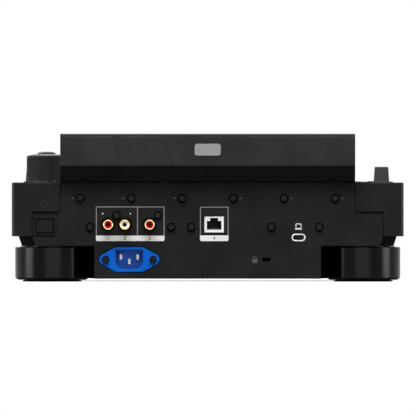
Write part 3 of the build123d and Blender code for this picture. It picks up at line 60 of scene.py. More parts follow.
# ------------------------------------------------------------------ table and studio
# A pale table that fades into a white room.  Both look white to the eye and in reflections, and
# give back only a modest light, and the table keeps the shadow of the player.
class Link:
    """One socket of a node tree.  Arithmetic adds Math nodes; node() adds any other kind."""

    def __init__(self, socket):
        self.socket = socket

    def node(self, kind, settings=None, sockets=None, output=0):
        """A new node: first its settings, then the values or links of its sockets."""
        tree = self.socket.id_data
        made = tree.nodes.new("ShaderNode" + kind)
        for name, value in (settings or {}).items():
            setattr(made, name, value)
        for name, value in (sockets or {}).items():
            if isinstance(value, Link):
                tree.links.new(value.socket, made.inputs[name])
            else:
                made.inputs[name].default_value = value
        return Link(made.outputs[output])

    def maths(self, operation, a, b):
        return self.node("Math", {"operation": operation}, {0: a, 1: b})

    def __add__(self, other):
        return self.maths("ADD", self, other)

    def __sub__(self, other):
        return self.maths("SUBTRACT", self, other)

    def __rsub__(self, other):
        return self.maths("SUBTRACT", other, self)

    def __mul__(self, other):
        return self.maths("MULTIPLY", self, other)

    __radd__, __rmul__ = __add__, __mul__

    def __abs__(self):
        return self.node("Math", {"operation": "ABSOLUTE"}, {0: self})

    def axes(self):
        """The three parts of a vector."""
        parts = self.node("SeparateXYZ", {}, {0: self})
        return [Link(socket) for socket in parts.socket.node.outputs]

    def step(self, low, high):
        """Smooth rise from 0 at low to 1 at high."""
        settings = {"interpolation_type": "SMOOTHSTEP"}
        return self.node("MapRange", settings, {"Value": self, "From Min": low, "From Max": high})

    def tint(self, colour, other):
        """Colour where this is 0, and other where it is 1."""
        ends = [c if isinstance(c, Link) else (*c, 1.0) for c in (colour, other)]
        return self.node("Mix", {"data_type": "RGBA"}, {0: self, 6: ends[0], 7: ends[1]}, 2)


def tree_of(owner):
    """Empties the nodes of a material or world and gives its output node and a Link to coordinates."""
    owner.use_nodes = True
    tree = owner.node_tree
    tree.nodes.clear()
    output = tree.nodes.new("ShaderNodeOutput" + ("World" if owner == world else "Material"))
    return output, Link(tree.nodes.new("ShaderNodeTexCoord").outputs["Object"])


def seen_directly(place):
    """1 for camera, glossy and transmission rays, and 0 for the light that surfaces pass on."""
    kinds = ("Is Camera Ray", "Is Glossy Ray", "Is Transmission Ray")
    camera_ray, glossy, through = (place.node("LightPath", output=kind) for kind in kinds)
    return (camera_ray + glossy + through).step(0.0, 1.0)


ROOM_LIGHT, TABLE_GREY = 0.12, 0.1      # what the room and the table give back to the player
TABLE_COLOUR, TABLE_GLOW = 0.45, 0.68   # what is seen of the table: white under the lamps
SHADOW_END = (0.45, 0.95)               # the shadow fades out between these distances, in metres
TABLE_EDGE = 9.0
world = bpy.data.worlds.new("room")
bpy.context.scene.world = world
output, place = tree_of(world)
shades = [place.node("Background", {}, {"Color": (s, s, s, 1)}) for s in (ROOM_LIGHT, 1.0)]
room = place.node("MixShader", {}, {0: seen_directly(place), 1: shades[0], 2: shades[1]})
world.node_tree.links.new(room.socket, output.inputs["Surface"])

table_mesh = bpy.data.meshes.new("table")
corners = [(x * TABLE_EDGE, y * TABLE_EDGE, 0) for x, y in ((-1, -1), (1, -1), (1, 1), (-1, 1))]
table_mesh.from_pydata(corners, [], [(0, 1, 2, 3)])
table = bpy.data.objects.new("table", table_mesh)
bpy.context.scene.collection.objects.link(table)
surface = bpy.data.materials.new("table_white")
output, place = tree_of(surface)
lit = place.node("BsdfDiffuse", {}, {"Color": (TABLE_COLOUR, TABLE_COLOUR, TABLE_COLOUR, 1)})
glow = place.node("Emission", {}, {"Color": (1, 1, 1, 1), "Strength": TABLE_GLOW})
shadowed = place.node("AddShader", {}, {0: lit, 1: glow})
white = place.node("Emission", {}, {"Color": (1, 1, 1, 1)})
far = place.node("VectorMath", {"operation": "LENGTH"}, {0: place}, "Value").step(*SHADOW_END)
looks = place.node("MixShader", {}, {0: far, 1: shadowed, 2: white})
grey = place.node("BsdfDiffuse", {}, {"Color": (TABLE_GREY, TABLE_GREY, TABLE_GREY, 1)})
cloth = place.node("MixShader", {}, {0: seen_directly(place), 1: grey, 2: looks})
surface.node_tree.links.new(cloth.socket, output.inputs["Surface"])
table_mesh.materials.append(surface)


def lamp(name, place, size, watts, diffuse=True, gloss=True):
    """Softbox that faces the middle of the player, and shows in its colour, its gloss or both."""
    data = bpy.data.lights.new(name, "AREA")
    data.shape, data.size, data.size_y, data.energy = "RECTANGLE", *size, watts
    box = bpy.data.objects.new(name, data)
    box.location = place
    box.rotation_euler = (Vector((0, 0, 0.06)) - Vector(place)).to_track_quat("-Z", "Y").to_euler()
    box.visible_camera = False
    box.visible_diffuse, box.visible_glossy = diffuse, gloss
    bpy.context.scene.collection.objects.link(box)


lamp("strip_right", (1.66, 0.56, 0.16), (0.7, 0.26), 14.0, diffuse=False)
lamp("strip_left", (-1.66, 0.56, 0.16), (0.7, 0.26), 14.0, diffuse=False)
lamp("overhead", (0.15, 0.96, 1.86), (2.2, 0.76), 76.0)
lamp("behind_camera", (0.0, 2.6, 0.3), (2.0, 0.35), 20.0, diffuse=False)
lamp("camera_side", (0.0, 2.6, 0.9), (1.6, 1.0), 5.0, gloss=False)
lamp("user_side", (0.3, -2.0, 1.4), (1.6, 0.9), 38.0)
lamp("side_right", (1.9, -0.7, 0.9), (0.8, 0.8), 14.0)
lamp("side_left", (-1.9, -0.7, 0.9), (0.8, 0.8), 14.0)


# ------------------------------------------------------------------ bottom chassis
# Pressed steel pan: a belly over the feet and a deep tub in the middle, with air slots.  It is
# powder coated in black and screwed up into the cover.
PATCH_SCALE = 34.0                      # clouds per metre
EDGE_TURN = (0.02, 0.25)                # how far the surface has to turn to count as an edge


def finish(name, colour, rough, grain=0.6, depth=0.004, cloud=0.18, speckle=0.25, wear_and_sheen=0.0,
           wear_and_sheen_colour=(0.1, 0.1, 0.1), rounding=0.35, metal=0.0, specular=0.08, coat=0.0, relief=None, shade=None):
    """A finish for this player's parts: clouded and speckled colour, grain of a size and depth in
    millimetres, edges that are softened by a rounding and made paler, partly as rubbed wear and
    partly as a painted highlight, and uneven gloss.  relief gives extra height in millimetres and
    shade changes the colour, each from the place on the part."""
    made = bpy.data.materials.new(name)
    output, place = tree_of(made)
    skin = made.node_tree.nodes.new("ShaderNodeBsdfPrincipled")
    made.node_tree.links.new(skin.outputs[0], output.inputs["Surface"])
    for socket, value in (("Specular IOR Level", specular), ("Metallic", metal), ("Coat Weight", coat),
                          ("Coat Roughness", 0.08)):
        skin.inputs[socket].default_value = value
    patches = place.node("TexNoise", {}, {"Vector": place, "Scale": PATCH_SCALE, "Detail": 5.0})
    grains = place.node("TexNoise", {}, {"Vector": place, "Scale": 1000.0 / grain, "Detail": 2.0})
    soft = place.node("Bevel", {"samples": 5}, {"Radius": rounding * MM})
    flat = place.node("NewGeometry", {}, {}, "Normal")
    alike = place.node("VectorMath", {"operation": "DOT_PRODUCT"}, {0: soft, 1: flat}, "Value")
    edge = (1 - alike).step(*EDGE_TURN) * patches.step(0.35, 0.6)
    dark, pale = ([c * (1 + sign * cloud) for c in colour] for sign in (-1, 1))
    paint = patches.step(0.3, 0.7).tint(dark, pale)
    paint = (grains.step(0.35, 0.75) * speckle).tint(paint, [c * 0.6 for c in colour])
    if shade:
        paint = shade(place, paint)
    # Paler edges: partly rubbed wear, partly a painted highlight along the roundings.
    paint = (edge * wear_and_sheen).tint(paint, wear_and_sheen_colour)
    height = grains * (depth * MM)
    if relief:
        height = height + relief(place) * MM
    bump = place.node("Bump", {}, {"Strength": 1.0, "Distance": 1.0, "Height": height, "Normal": soft})
    gloss = rough + (patches - 0.5) * (0.25 * rough) + (grains - 0.5) * (0.2 * rough) - edge * 0.1 * wear_and_sheen
    for value, socket in ((paint, "Base Color"), (gloss, "Roughness"), (bump, "Normal")):
        made.node_tree.links.new(value.socket, skin.inputs[socket])
    return made


def dress(node, *finishes, choose=None):
    """Gives a CAD node its finishes; choose picks one for a face from its middle, in millimetres,
    and its direction."""
    mesh = CAD[node].data
    mesh.materials.clear()
    for made in finishes:
        mesh.materials.append(made)
    if choose:
        for face in mesh.polygons:
            face.material_index = choose(face.center / MM, face.normal)


steel_black = finish("steel_black", (0.0188, 0.019, 0.0193), 0.52, 0.7, 0.008, wear_and_sheen=0.5, specular=0.02,
                     wear_and_sheen_colour=(0.06, 0.06, 0.06), rounding=0.9)
dress("bottom_chassis", steel_black)


# ------------------------------------------------------------------ feet and pads
# Four moulded drums with fine turning lines round them, each on a rubber disc.  They carry the
# player and damp it, and a spigot screws each one to the belly.
def rings_round(place):
    """Fine level lines, as a turned mould leaves them."""
    line = place.node("TexNoise", {}, {"Scale": 1.0, "Detail": 3.0, "Vector": place.node(
        "VectorMath", {"operation": "MULTIPLY"}, {0: place, 1: (12.0, 12.0, 1500.0)})})
    return line * 0.02


foot_black = finish("foot_black", (0.0012, 0.0012, 0.0013), 0.21, 0.5, 0.0005, specular=0.08,
                    relief=rings_round)
rubber_black = finish("rubber_black", (0.005, 0.005, 0.005), 0.75, 0.9, 0.02, specular=0.01)
dress("feet", foot_black, rubber_black, choose=lambda middle, way: int(way.z < -0.2))
dress("foot_pads", rubber_black)


# ------------------------------------------------------------------ boards and supply
# Green fibreglass boards with switches, chips and coils on them, hung from the panel or standing
# on posts.  The mains supply sits in the deep tub.
board_green = finish("board_green", (0.02, 0.10, 0.045), 0.4, 1.2, 0.01, specular=0.5)
part_black = finish("part_black", (0.02, 0.02, 0.02), 0.45, 0.5, 0.003)
MAIN_BOARD_TOP, SUPPLY_BOARD_TOP = 41.2, 11.6


def flat_board(level):
    """Green for the faces at a board's own level, and black for what stands on it."""
    return lambda middle, way: int(middle.z > level + 0.02)


dress("main_board", board_green, part_black, choose=flat_board(MAIN_BOARD_TOP))
dress("power_supply", board_green, part_black, choose=flat_board(SUPPLY_BOARD_TOP))
dress("control_boards", board_green, part_black, choose=lambda middle, way: int(abs(way.z) < 0.9))


# ------------------------------------------------------------------ rear panel
# Folded steel sheet in the same powder coat, with its lettering silk-screened: pale frames with
# a white strip under each group of sockets, and small symbols.
def arc(x, y, r, start, end, count=20):
    """Points round part of a circle, in degrees."""
    turns = [radians(start + (end - start) * k / count) for k in range(count + 1)]
    return [(x + r * cos(t), y + r * sin(t)) for t in turns]


def rounded(x0, x1, y0, y1, r):
    """Rectangle with round corners: r is one radius, or four, from the lower left round by the
    lower right."""
    radii = r if isinstance(r, tuple) else (r,) * 4
    corners = [(x0, y0, 1, 1, 180), (x1, y0, -1, 1, 270), (x1, y1, -1, -1, 0), (x0, y1, 1, -1, 90)]
    points = []
    for (x, y, sx, sy, start), rr in zip(corners, radii):
        points += arc(x + sx * rr, y + sy * rr, rr, start, start + 90, 6) if rr else [(x, y)]
    return points


FILM, SAME_POINT = 0.05, 1e-5


class Print:
    """Ink on a flat face.  Points are in millimetres across and up the face from its origin, and
    each shape is a closed film a few hundredths of a millimetre thick."""

    def __init__(self, origin, across=(1, 0, 0), up=(0, 1, 0)):
        across, up = Vector(across), Vector(up)
        axes = Matrix((across, up, across.cross(up))).transposed().to_4x4()
        self.frame = Matrix.Translation(Vector(origin) * MM) @ axes @ Matrix.Scale(MM, 4)
        self.mesh = bmesh.new()

    def film(self, rows, closed, ink, layer):
        """Closed film between pairs of points that run along a shape's two sides."""
        top = FILM * (layer + 1)
        rings = []
        for left, right in rows:
            corners = [(*left, top), (*right, top), (*right, 0.0), (*left, 0.0)]
            rings.append([self.mesh.verts.new(self.frame @ Vector(c)) for c in corners])
        pairs = list(zip(rings, rings[1:] + rings[:1]))[: None if closed else -1]
        faces = [[a[i], b[i], b[i - 3], a[i - 3]] for a, b in pairs for i in range(4)]
        faces += [] if closed else [rings[0][::-1], rings[-1]]
        for corners in faces:
            self.mesh.faces.new(corners).material_index = ink

    def line(self, points, width, closed=False, ink=0, layer=0):
        """Stroke of one width along a path, mitred at its corners."""
        path = [Vector(points[0])]
        for point in map(Vector, points[1:]):
            if (point - path[-1]).length > SAME_POINT:
                path.append(point)
        if closed and (path[0] - path[-1]).length < SAME_POINT:
            path.pop()
        rows, last = [], len(path) - 1
        for k, here in enumerate(path):
            before = (here - path[k - 1]) if closed or k > 0 else (path[1] - here)
            after = (path[(k + 1) % len(path)] - here) if closed or k < last else before
            normals = [Vector((-d.y, d.x)).normalized() for d in (before, after)]
            side = (normals[0] + normals[1]).normalized()
            side *= width / 2 / max(side.dot(normals[0]), 0.4)
            rows.append((here + side, here - side))
        self.film(rows, closed, ink, layer)

    def fill(self, points, ink=0, layer=0):
        """Solid shape inside an outline."""
        top = FILM * (layer + 1)
        path = [p for k, p in enumerate(points) if (Vector(p) - Vector(points[k - 1])).length > SAME_POINT]
        upper, lower = ([self.mesh.verts.new(self.frame @ Vector((*p, z))) for p in path]
                        for z in (top, 0.0))
        faces = [upper, lower[::-1]]
        faces += [[upper[k - 1], lower[k - 1], lower[k], upper[k]] for k in range(len(path))]
        for corners in faces:
            self.mesh.faces.new(corners).material_index = ink

    def numeral(self, text, x, y, height, ink=0, layer=0):
        """Plain figures, centred on a point."""
        curve = bpy.data.curves.new("figure", "FONT")
        curve.body, curve.size, curve.extrude = text, height / 0.7, FILM / 2 * (layer + 1)
        curve.resolution_u, curve.align_x, curve.align_y = 4, "CENTER", "CENTER"
        holder = bpy.data.objects.new("figure", curve)
        figure = bpy.data.meshes.new_from_object(holder)
        figure.transform(self.frame @ Matrix.Translation((x, y, curve.extrude)))
        known = len(self.mesh.faces)
        self.mesh.from_mesh(figure)
        self.mesh.faces.ensure_lookup_table()
        for face in self.mesh.faces[known:]:
            face.material_index = ink
        bpy.data.objects.remove(holder)
        bpy.data.meshes.remove(figure)
        bpy.data.curves.remove(curve)

    def piece(self, name, body, *inks):
        """Ends the print as a piece of its own that rides on a body."""
        bmesh.ops.remove_doubles(self.mesh, verts=self.mesh.verts, dist=1e-7)
        bmesh.ops.recalc_face_normals(self.mesh, faces=self.mesh.faces)
        mesh = bpy.data.meshes.new(name)
        self.mesh.to_mesh(mesh)
        self.mesh.free()
        for ink in inks:
            mesh.materials.append(ink)
        made = bpy.data.objects.new(name, mesh)
        bpy.context.scene.collection.objects.link(made)
        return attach(made, body)


def ink(name, colour, rough=0.55):
    """Screen-print ink, a little uneven where the mesh laid it."""
    return finish(name, colour, rough, 0.3, 0.001, cloud=0.03, speckle=0.06, rounding=0.05)


ink_white = ink("ink_white", (0.97, 0.97, 0.96))
ink_pale = ink("ink_pale", (0.27, 0.27, 0.265))
ink_grey = ink("ink_grey", (0.1, 0.1, 0.1))
ink_black = ink("ink_black", (0.012, 0.012, 0.012))
WHITE, PALE, GREY, BLACK = range(4)

dress("rear_panel", steel_black)
rear = Print((0, REAR_Y, 0), across=(-1, 0, 0), up=(0, 0, 1))
FRAME_LINE, STRIP_LOW, STRIP_CORNER, CUT_CORNER, FIGURE_HEIGHT = 0.8, 34.2, 1.4, 0.9, 3.0
AUDIO_FRAME = (-93.6, -36.7, 38.8, 62.9, (-59.0,))      # left, right, low, high, dividers
NETWORK_FRAME = (-6.1, 17.1, 39.0, 62.7, ())
for left, right, low, high, dividers in (AUDIO_FRAME, NETWORK_FRAME):
    rear.line([(left, low), (left, high), (right, high), (right, low)], FRAME_LINE, ink=PALE)
    ends = [left - FRAME_LINE / 2, *dividers, right + FRAME_LINE / 2]
    for k, (start, end) in enumerate(zip(ends, ends[1:])):
        corners = [STRIP_CORNER if outer else CUT_CORNER for outer in (k == 0, end == ends[-1])]
        rear.fill(rounded(start, end, STRIP_LOW, low, (*corners, 0, 0)), WHITE)
    for x in dividers:
        rear.line([(x, low), (x, high - FRAME_LINE / 2)], FRAME_LINE, ink=PALE)
for text, x, z in (("1", -83.7, 36.5), ("2", -69.7, 36.5), ("3", -48.8, 36.5), ("4", 5.5, 36.6)):
    rear.numeral(text, x, z, FIGURE_HEIGHT, BLACK, 1)
CHANNEL_DOTS_X, CHANNEL_DOT_Z, CHANNEL_DOT_R = (-88.3, -65.0), 57.3, 0.6
for x in CHANNEL_DOTS_X:
    rear.fill(arc(x, CHANNEL_DOT_Z, CHANNEL_DOT_R, 0, 348, 14), WHITE)

SCREW_PITCH, SCREW_ROW_Z = 42.85, 70.2
SCREW_ROW = [(k - 2.5) * SCREW_PITCH for k in range(6)]
ARROW_REACH, ARROW_LINE, ARROW_SIDE = (5.0, 6.6, 8.6), 0.32, 0.8     # tip, base and tail
for x in SCREW_ROW:
    tip, base, tail = (x + reach * (1 if x > 0 else -1) for reach in ARROW_REACH)
    rear.line([(base, SCREW_ROW_Z), (tail, SCREW_ROW_Z)], ARROW_LINE, ink=GREY)
    rear.fill([(tip, SCREW_ROW_Z), (base, SCREW_ROW_Z + ARROW_SIDE), (base, SCREW_ROW_Z - ARROW_SIDE)],
              GREY)

OVAL_PORT_X, OVAL_PORT_Z, OVAL_HALF, OVAL_R = -76.4, 37.3, 5.35, 2.65
oval_ring = rounded(-OVAL_PORT_X - OVAL_HALF, -OVAL_PORT_X + OVAL_HALF,
                    OVAL_PORT_Z - OVAL_R, OVAL_PORT_Z + OVAL_R, OVAL_R)
laptop_lid = [(74.2, 45.4), (74.2, 48.3), (74.6, 48.7), (78.0, 48.7), (78.4, 48.3), (78.4, 45.4)]
laptop_base = [(73.2, 43.9), (79.4, 43.9), (78.7, 45.2), (73.9, 45.2)]
padlock = rounded(37.5, 41.7, 15.8, 19.2, 0.4)
padlock_bow = [(38.4, 19.0), (38.4, 20.0), *arc(39.6, 20.0, 1.2, 180, 0, 10), (40.8, 19.0)]
OVAL_LINE, LID_LINE, BOW_LINE = 1.1, 0.75, 0.6
rear.line(oval_ring, OVAL_LINE, True, WHITE)
rear.line(laptop_lid, LID_LINE, ink=WHITE)
rear.fill(laptop_base, WHITE)
rear.fill(padlock, GREY)
rear.line(padlock_bow, BOW_LINE, ink=GREY)
rear.piece("rear_printing", "cabinet", ink_white, ink_pale, ink_grey, ink_black)


# ------------------------------------------------------------------ screws
# Pan-head machine screws in black zinc with a cross recess; rims and recesses in painted shade, and rings of
# painted shadow at the rear.
# They hold the rear panel, the jack plates, the mains inlet and the chassis floor.
screw_black = finish("screw_black", (0.019, 0.019, 0.0195), 0.4, 0.3, 0.001, specular=0.05, rounding=0.15)
# Rims and cross recesses of the heads take a near-black copy of the zinc: painted shade.
screw_shade_black = finish("screw_shade_black", (0.0015, 0.0015, 0.0015), 0.4, 0.3, 0.001, specular=0.01, rounding=0.1)
shadow_ring_black = finish("shadow_ring_black", (0.003, 0.003, 0.003), 0.8, specular=0.0)
dress("screws", screw_black, screw_shade_black, choose=lambda middle, way: int(max(way.y, -way.z) < 0.995))
# Thin near-black rings printed round the rear screw heads: a painted shadow.
shadow_rings = Print((0, REAR_Y, 0), across=(-1, 0, 0), up=(0, 0, 1))
SHADOW_RING_R, SHADOW_RING_WIDTH, LOWER_ROW_Z, JACK_SCREW_Z = 3.45, 0.6, 46.0, 55.8
screw_places = [(x, SCREW_ROW_Z) for x in SCREW_ROW]
screw_places += [(x, LOWER_ROW_Z) for x in (-98.9, -30.7, -14.0, 53.4, 93.8)]
screw_places += [(x, JACK_SCREW_Z) for x in (-76.7, -41.8)]
for x, z in screw_places:
    shadow_rings.line(arc(x, z, SHADOW_RING_R, 0, 360, 28), SHADOW_RING_WIDTH, True)
shadow_rings.piece("screw_shadow_rings", "cabinet", shadow_ring_black)


# ------------------------------------------------------------------ audio jacks
# Phono sockets on moulded blocks: a dished black collar, a gold-plated barrel, and an insert in
# the colour of its channel round the hole for the plug's pin.
collar_black = finish("collar_black", (0.004, 0.004, 0.0044), 0.35, 0.4, 0.001, specular=0.08)
gold_plate = finish("gold_plate", (0.60, 0.43, 0.19), 0.3, 0.3, 0.001, cloud=0.05, metal=1.0)
insert_red = finish("insert_red", (0.62, 0.004, 0.003), 0.35, 0.3, 0.001, cloud=0.05, specular=0.05)
insert_white = finish("insert_white", (0.85, 0.85, 0.8), 0.35, 0.3, 0.001, cloud=0.03, specular=0.3)
hole_dark = finish("hole_dark", (0.004, 0.004, 0.004), 0.8, specular=0.0)
COLLAR, BARREL, RED_INSERT, WHITE_INSERT, PIN_HOLE = range(5)
JACKS_X, WHITE_JACK_X, JACK_Z = (83.7, 69.7, 48.8), 69.7, 48.0
BARREL_START, BARREL_R, PIN_HOLE_R = -1.3, 4.25, 1.7
INSERT_FACE, INSERT_R = 8.4, 3.34


def jack_face(middle, way):
    """Picks a phono socket's finish from the distance to its axis and the depth."""
    out = middle.y - REAR_Y
    reach, x = min(((middle.x - x) ** 2 + (middle.z - JACK_Z) ** 2, x) for x in JACKS_X)
    reach = reach ** 0.5
    if out < BARREL_START or reach > BARREL_R:
        return COLLAR
    if reach < PIN_HOLE_R:
        return PIN_HOLE
    if reach < INSERT_R and abs(out - INSERT_FACE) < 0.05:
        return WHITE_INSERT if x == WHITE_JACK_X else RED_INSERT
    return BARREL


dress("audio_jacks", collar_black, gold_plate, insert_red, insert_white, hole_dark, choose=jack_face)


# ------------------------------------------------------------------ network jack
# Pressed shield of tinned steel round a black moulding with eight gilt contacts.  The latch notch
# is on top, between two light guides.
shield_metal = finish("shield_metal", (0.62, 0.62, 0.62), 0.5, 0.4, 0.003, cloud=0.08, metal=0.4)
jack_inside = finish("jack_inside", (0.07, 0.07, 0.07), 0.6, specular=0.05)
contact_gilt = finish("contact_gilt", (0.16, 0.12, 0.05), 0.3, 0.3, 0.001, cloud=0.05, metal=0.6)
guide_clear = finish("guide_clear", (0.85, 0.85, 0.83), 0.3, cloud=0.03, specular=0.3)
SHIELD, INSIDE, GUIDE, CONTACT = range(4)
NET_X, NET_Z, NET_MOUTH, SHIELD_HALF = -5.4, 48.1, REAR_Y + 0.2, (8.0, 6.5)
GUIDE_NEAR, GUIDE_LOW, GUIDE_DEPTH = 4.6, 3.4, 0.4
CONTACTS_HALF, CONTACTS_Z, CONTACTS_DEPTH = 3.9, (-4.35, -2.5), (8.5, 14.5)


def network_face(middle, way):
    """Picks shield, inside, light guide or contact from the place behind the socket's mouth."""
    x, z, deep = middle.x - NET_X, middle.z - NET_Z, NET_MOUTH - middle.y
    if abs(x) > SHIELD_HALF[0] or abs(z) > SHIELD_HALF[1] or (way.y > 0.9 and deep < 0.05):
        return SHIELD
    if deep < GUIDE_DEPTH and z > GUIDE_LOW and abs(x) > GUIDE_NEAR:
        return GUIDE
    row = CONTACTS_Z[0] < z < CONTACTS_Z[1] and CONTACTS_DEPTH[0] < deep < CONTACTS_DEPTH[1]
    return CONTACT if row and abs(x) < CONTACTS_HALF else INSIDE


dress("network_jack", shield_metal, jack_inside, guide_clear, contact_gilt, choose=network_face)


# ------------------------------------------------------------------ data ports
# Drawn steel shells with a black tongue: a flat and an oval port in the top panel's left strip,
# and an oval one at the rear.
port_metal = finish("port_metal", (0.62, 0.62, 0.63), 0.3, 0.4, 0.001, metal=1.0)
port_dark = finish("port_dark", (0.018, 0.018, 0.018), 0.4, 0.4, 0.001, metal=0.3)
BRIGHT_SHELL, DARK, DULL_SHELL = range(3)
PANEL_STRIP_EDGE, PANEL_PORTS_X, PANEL_MOUTH_HALF, PANEL_TONGUE_TOP = -100, -144.3, 5.6, 82.4
REAR_TONGUE_HALF, REAR_PORT_FLOOR = (3.45, 0.5), 209


def port_face(middle, way):
    """Picks the dark tongue and inside, or the shell: dull at the rear and bright on the panel."""
    if middle.x > PANEL_STRIP_EDGE:
        x, z = abs(middle.x - OVAL_PORT_X), abs(middle.z - OVAL_PORT_Z)
        tongue = x < REAR_TONGUE_HALF[0] and z < REAR_TONGUE_HALF[1]
        return DARK if tongue or middle.y < REAR_PORT_FLOOR else DULL_SHELL
    mouth = abs(middle.x - PANEL_PORTS_X) < PANEL_MOUTH_HALF
    return DARK if mouth and middle.z < PANEL_TONGUE_TOP else BRIGHT_SHELL


dress("usb_ports", port_metal, part_black, port_dark, choose=port_face)


# ------------------------------------------------------------------ mains inlet
# Blue moulded inlet with a keyed recess, fixed behind the panel by two screws, with three tinned
# blades.
INLET_X, INLET_Z = 65.9, 18.8
RECESS_HALF, RECESS_MOUTH, RECESS_FLOOR = (11.5, 7.9), 213.8, 198
BLADES, BLADE_HALF = ((-7, 2), (7, 2), (0, -2)), (1.1, 2.3)


def recess_painted_light(place, paint):
    """The recess is painted a clearer, paler blue than the flange: painted light in the deep recess."""
    across, depth, height = place.axes()
    sides = ((across, INLET_X, RECESS_HALF[0]), (height, INLET_Z, RECESS_HALF[1]))
    narrow, low = (1 - abs(reach - middle * MM).step(half * MM, (half + 0.3) * MM)
                   for reach, middle, half in sides)
    deep = 1 - depth.step((RECESS_MOUTH - 1.0) * MM, RECESS_MOUTH * MM)
    return (narrow * low * deep).tint(paint, (0.11, 0.38, 1.0))


inlet_blue = finish("inlet_blue", (0.0, 0.145, 0.72), 0.42, 0.5, 0.003, cloud=0.06, specular=0.05, wear_and_sheen=0.4,
                    wear_and_sheen_colour=(0.01, 0.22, 0.85), rounding=0.8, shade=recess_painted_light)
blade_metal = finish("blade_metal", (0.4, 0.4, 0.4), 0.45, 0.3, 0.001, rounding=0.5, metal=0.4)


def inlet_face(middle, way):
    """Picks the blades that stand in the recess."""
    x, z = middle.x - INLET_X, middle.z - INLET_Z
    near = any(abs(x - dx) < BLADE_HALF[0] and abs(z - dz) < BLADE_HALF[1] for dx, dz in BLADES)
    return int(near and middle.y > RECESS_FLOOR)


dress("power_inlet", inlet_blue, blade_metal, choose=inlet_face)


# ------------------------------------------------------------------ power switch and button
# Moulded surround in the panel's cut-out and a square push button that stands a hair proud.
switch_black = finish("switch_black", (0.0135, 0.0135, 0.014), 0.5, 0.5, 0.003, specular=0.03, wear_and_sheen=0.5,
                      wear_and_sheen_colour=(0.05, 0.05, 0.05))
dress("power_switch", switch_black)
dress("power_button", switch_black)


# ------------------------------------------------------------------ top cover
# One moulding: the four walls and the frame that the control panel lies in.  Its rear corners
# are stepped over the rear panel, and the right-hand one carries the power symbol.
def painted_corner_highlight(place, paint):
    """Painted highlight: paler on the roundings of the upright corners, picked by the direction of the
    surface.
    """
    across, along, _ = place.node("NewGeometry", {}, {}, "True Normal").axes()
    return ((abs(across) * abs(along)).step(0.15, 0.5) * 0.7).tint(paint, (0.085, 0.085, 0.085))


case_black = finish("case_black", (0.0157, 0.0157, 0.0162), 0.5, 0.6, 0.006, specular=0.03, wear_and_sheen=0.7,
                    wear_and_sheen_colour=(0.07, 0.07, 0.07), rounding=1.0, shade=painted_corner_highlight)
dress("top_cover", case_black)
ink_faint = ink("ink_faint", (0.03, 0.03, 0.03))
COVER_PROUD, MARK_LINE = 1.0, 0.55
mark = Print((137.7, REAR_Y + COVER_PROUD, 65.4), across=(-1, 0, 0), up=(0, 0, 1))
mark.line(arc(0, 0, 2.6, 125, 415, 26), MARK_LINE)
mark.line([(0, 0.5), (0, 3.2)], MARK_LINE)
mark.piece("cover_printing", "cabinet", ink_faint)


# ------------------------------------------------------------------ control panel
# Aluminium top plate, black anodised and brushed along its width, with the symbols of its
# controls printed beside them.
def brushed(place):
    """Fine marks across the player."""
    marks = place.node("TexNoise", {}, {"Scale": 1.0, "Detail": 3.0, "Vector": place.node(
        "VectorMath", {"operation": "MULTIPLY"}, {0: place, 1: (40.0, 2600.0, 2600.0)})})
    return marks * 0.004


panel_black = finish("panel_black", (0.012, 0.012, 0.0127), 0.44, 0.6, 0.001, cloud=0.08, wear_and_sheen=0.4,
                     specular=0.07, relief=brushed)
dress("control_panel", panel_black)
PANEL_Z = 83.5


def spot(node):
    """Middle of a node, across and along the panel, in millimetres."""
    lowest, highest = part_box(node)
    return (lowest.x + highest.x) / 2 / MM, (lowest.y + highest.y) / 2 / MM


legend = Print((0, 0, PANEL_Z))
DIAL_R, FINE_LINE = 10.0, 0.35
for node in ("jog_adjust_knob", "speed_adjust_knob"):
    x, y = spot(node)
    for k in range(11):
        turn = radians(-50 + 28 * k)
        ends = (DIAL_R, DIAL_R + (1.2 if k % 5 else 1.9))
        legend.line([(x + reach * cos(turn), y + reach * sin(turn)) for reach in ends], FINE_LINE)

FADER_X, FADER_Y, FADER_HALF = 143.0, -146.0, 50
for k in range(-10, 11):
    length, width = (1.8, 0.4) if k % 5 else (3.2, 0.55)
    for side in (-1, 1):
        start, y = FADER_X + side * 11.0, FADER_Y + 5 * k
        legend.line([(start, y), (start + side * length, y)], width)
legend.numeral("0", FADER_X - 17.2, FADER_Y, 2.6)
SIGN_X, SIGN_HALF, SIGN_LINE = FADER_X - 17.1, 1.3, 0.45
for y in (FADER_Y + FADER_HALF, FADER_Y - FADER_HALF):
    legend.line([(SIGN_X - SIGN_HALF, y), (SIGN_X + SIGN_HALF, y)], SIGN_LINE)
for way in (-1, 1):
    legend.line([(SIGN_X, y + way * reach) for reach in (SIGN_LINE / 2, SIGN_HALF)], SIGN_LINE)

LEVER_MARK, ARROW_HALF, ARROW_LENGTH = 25.5, 2.2, 3.4
x, y = spot("direction_lever")
for way in (-1, 1):
    tip = y + way * LEVER_MARK
    base = tip - way * ARROW_LENGTH
    legend.fill([(x - ARROW_HALF, base), (x + ARROW_HALF, base), (x, tip)])
DIM, LOOP_MARK_R, SELECTOR_MARK_R, CUE_HALF, CUE_RULE = 1, 10.8, 21.4, 10.7, 9.4
for name in ("loop_in_button", "loop_out_button"):
    legend.line(arc(*spot(name), LOOP_MARK_R, 30, 150, 14), FINE_LINE, ink=DIM)
for k in range(8):
    x, y = spot(f"hot_cue_{k + 1}")
    legend.line([(x - CUE_HALF, y - CUE_RULE), (x + CUE_HALF, y - CUE_RULE)], FINE_LINE, ink=DIM)
legend.line(arc(*spot("selector_rotor"), SELECTOR_MARK_R, 200, 340, 24), 0.4, ink=DIM)
legend.line([(-128.4, -174.6), (-145.0, -174.6)], FINE_LINE, ink=DIM)     # between cue and play
for half, low, high in ((8.4, 186.6, 198.2), (6.4, 169.8, 177.0)):
    legend.line(rounded(PANEL_PORTS_X - half, PANEL_PORTS_X + half, low, high, 2.0), 0.4, True)
legend.piece("panel_printing", "cabinet", ink_pale, ink_grey)


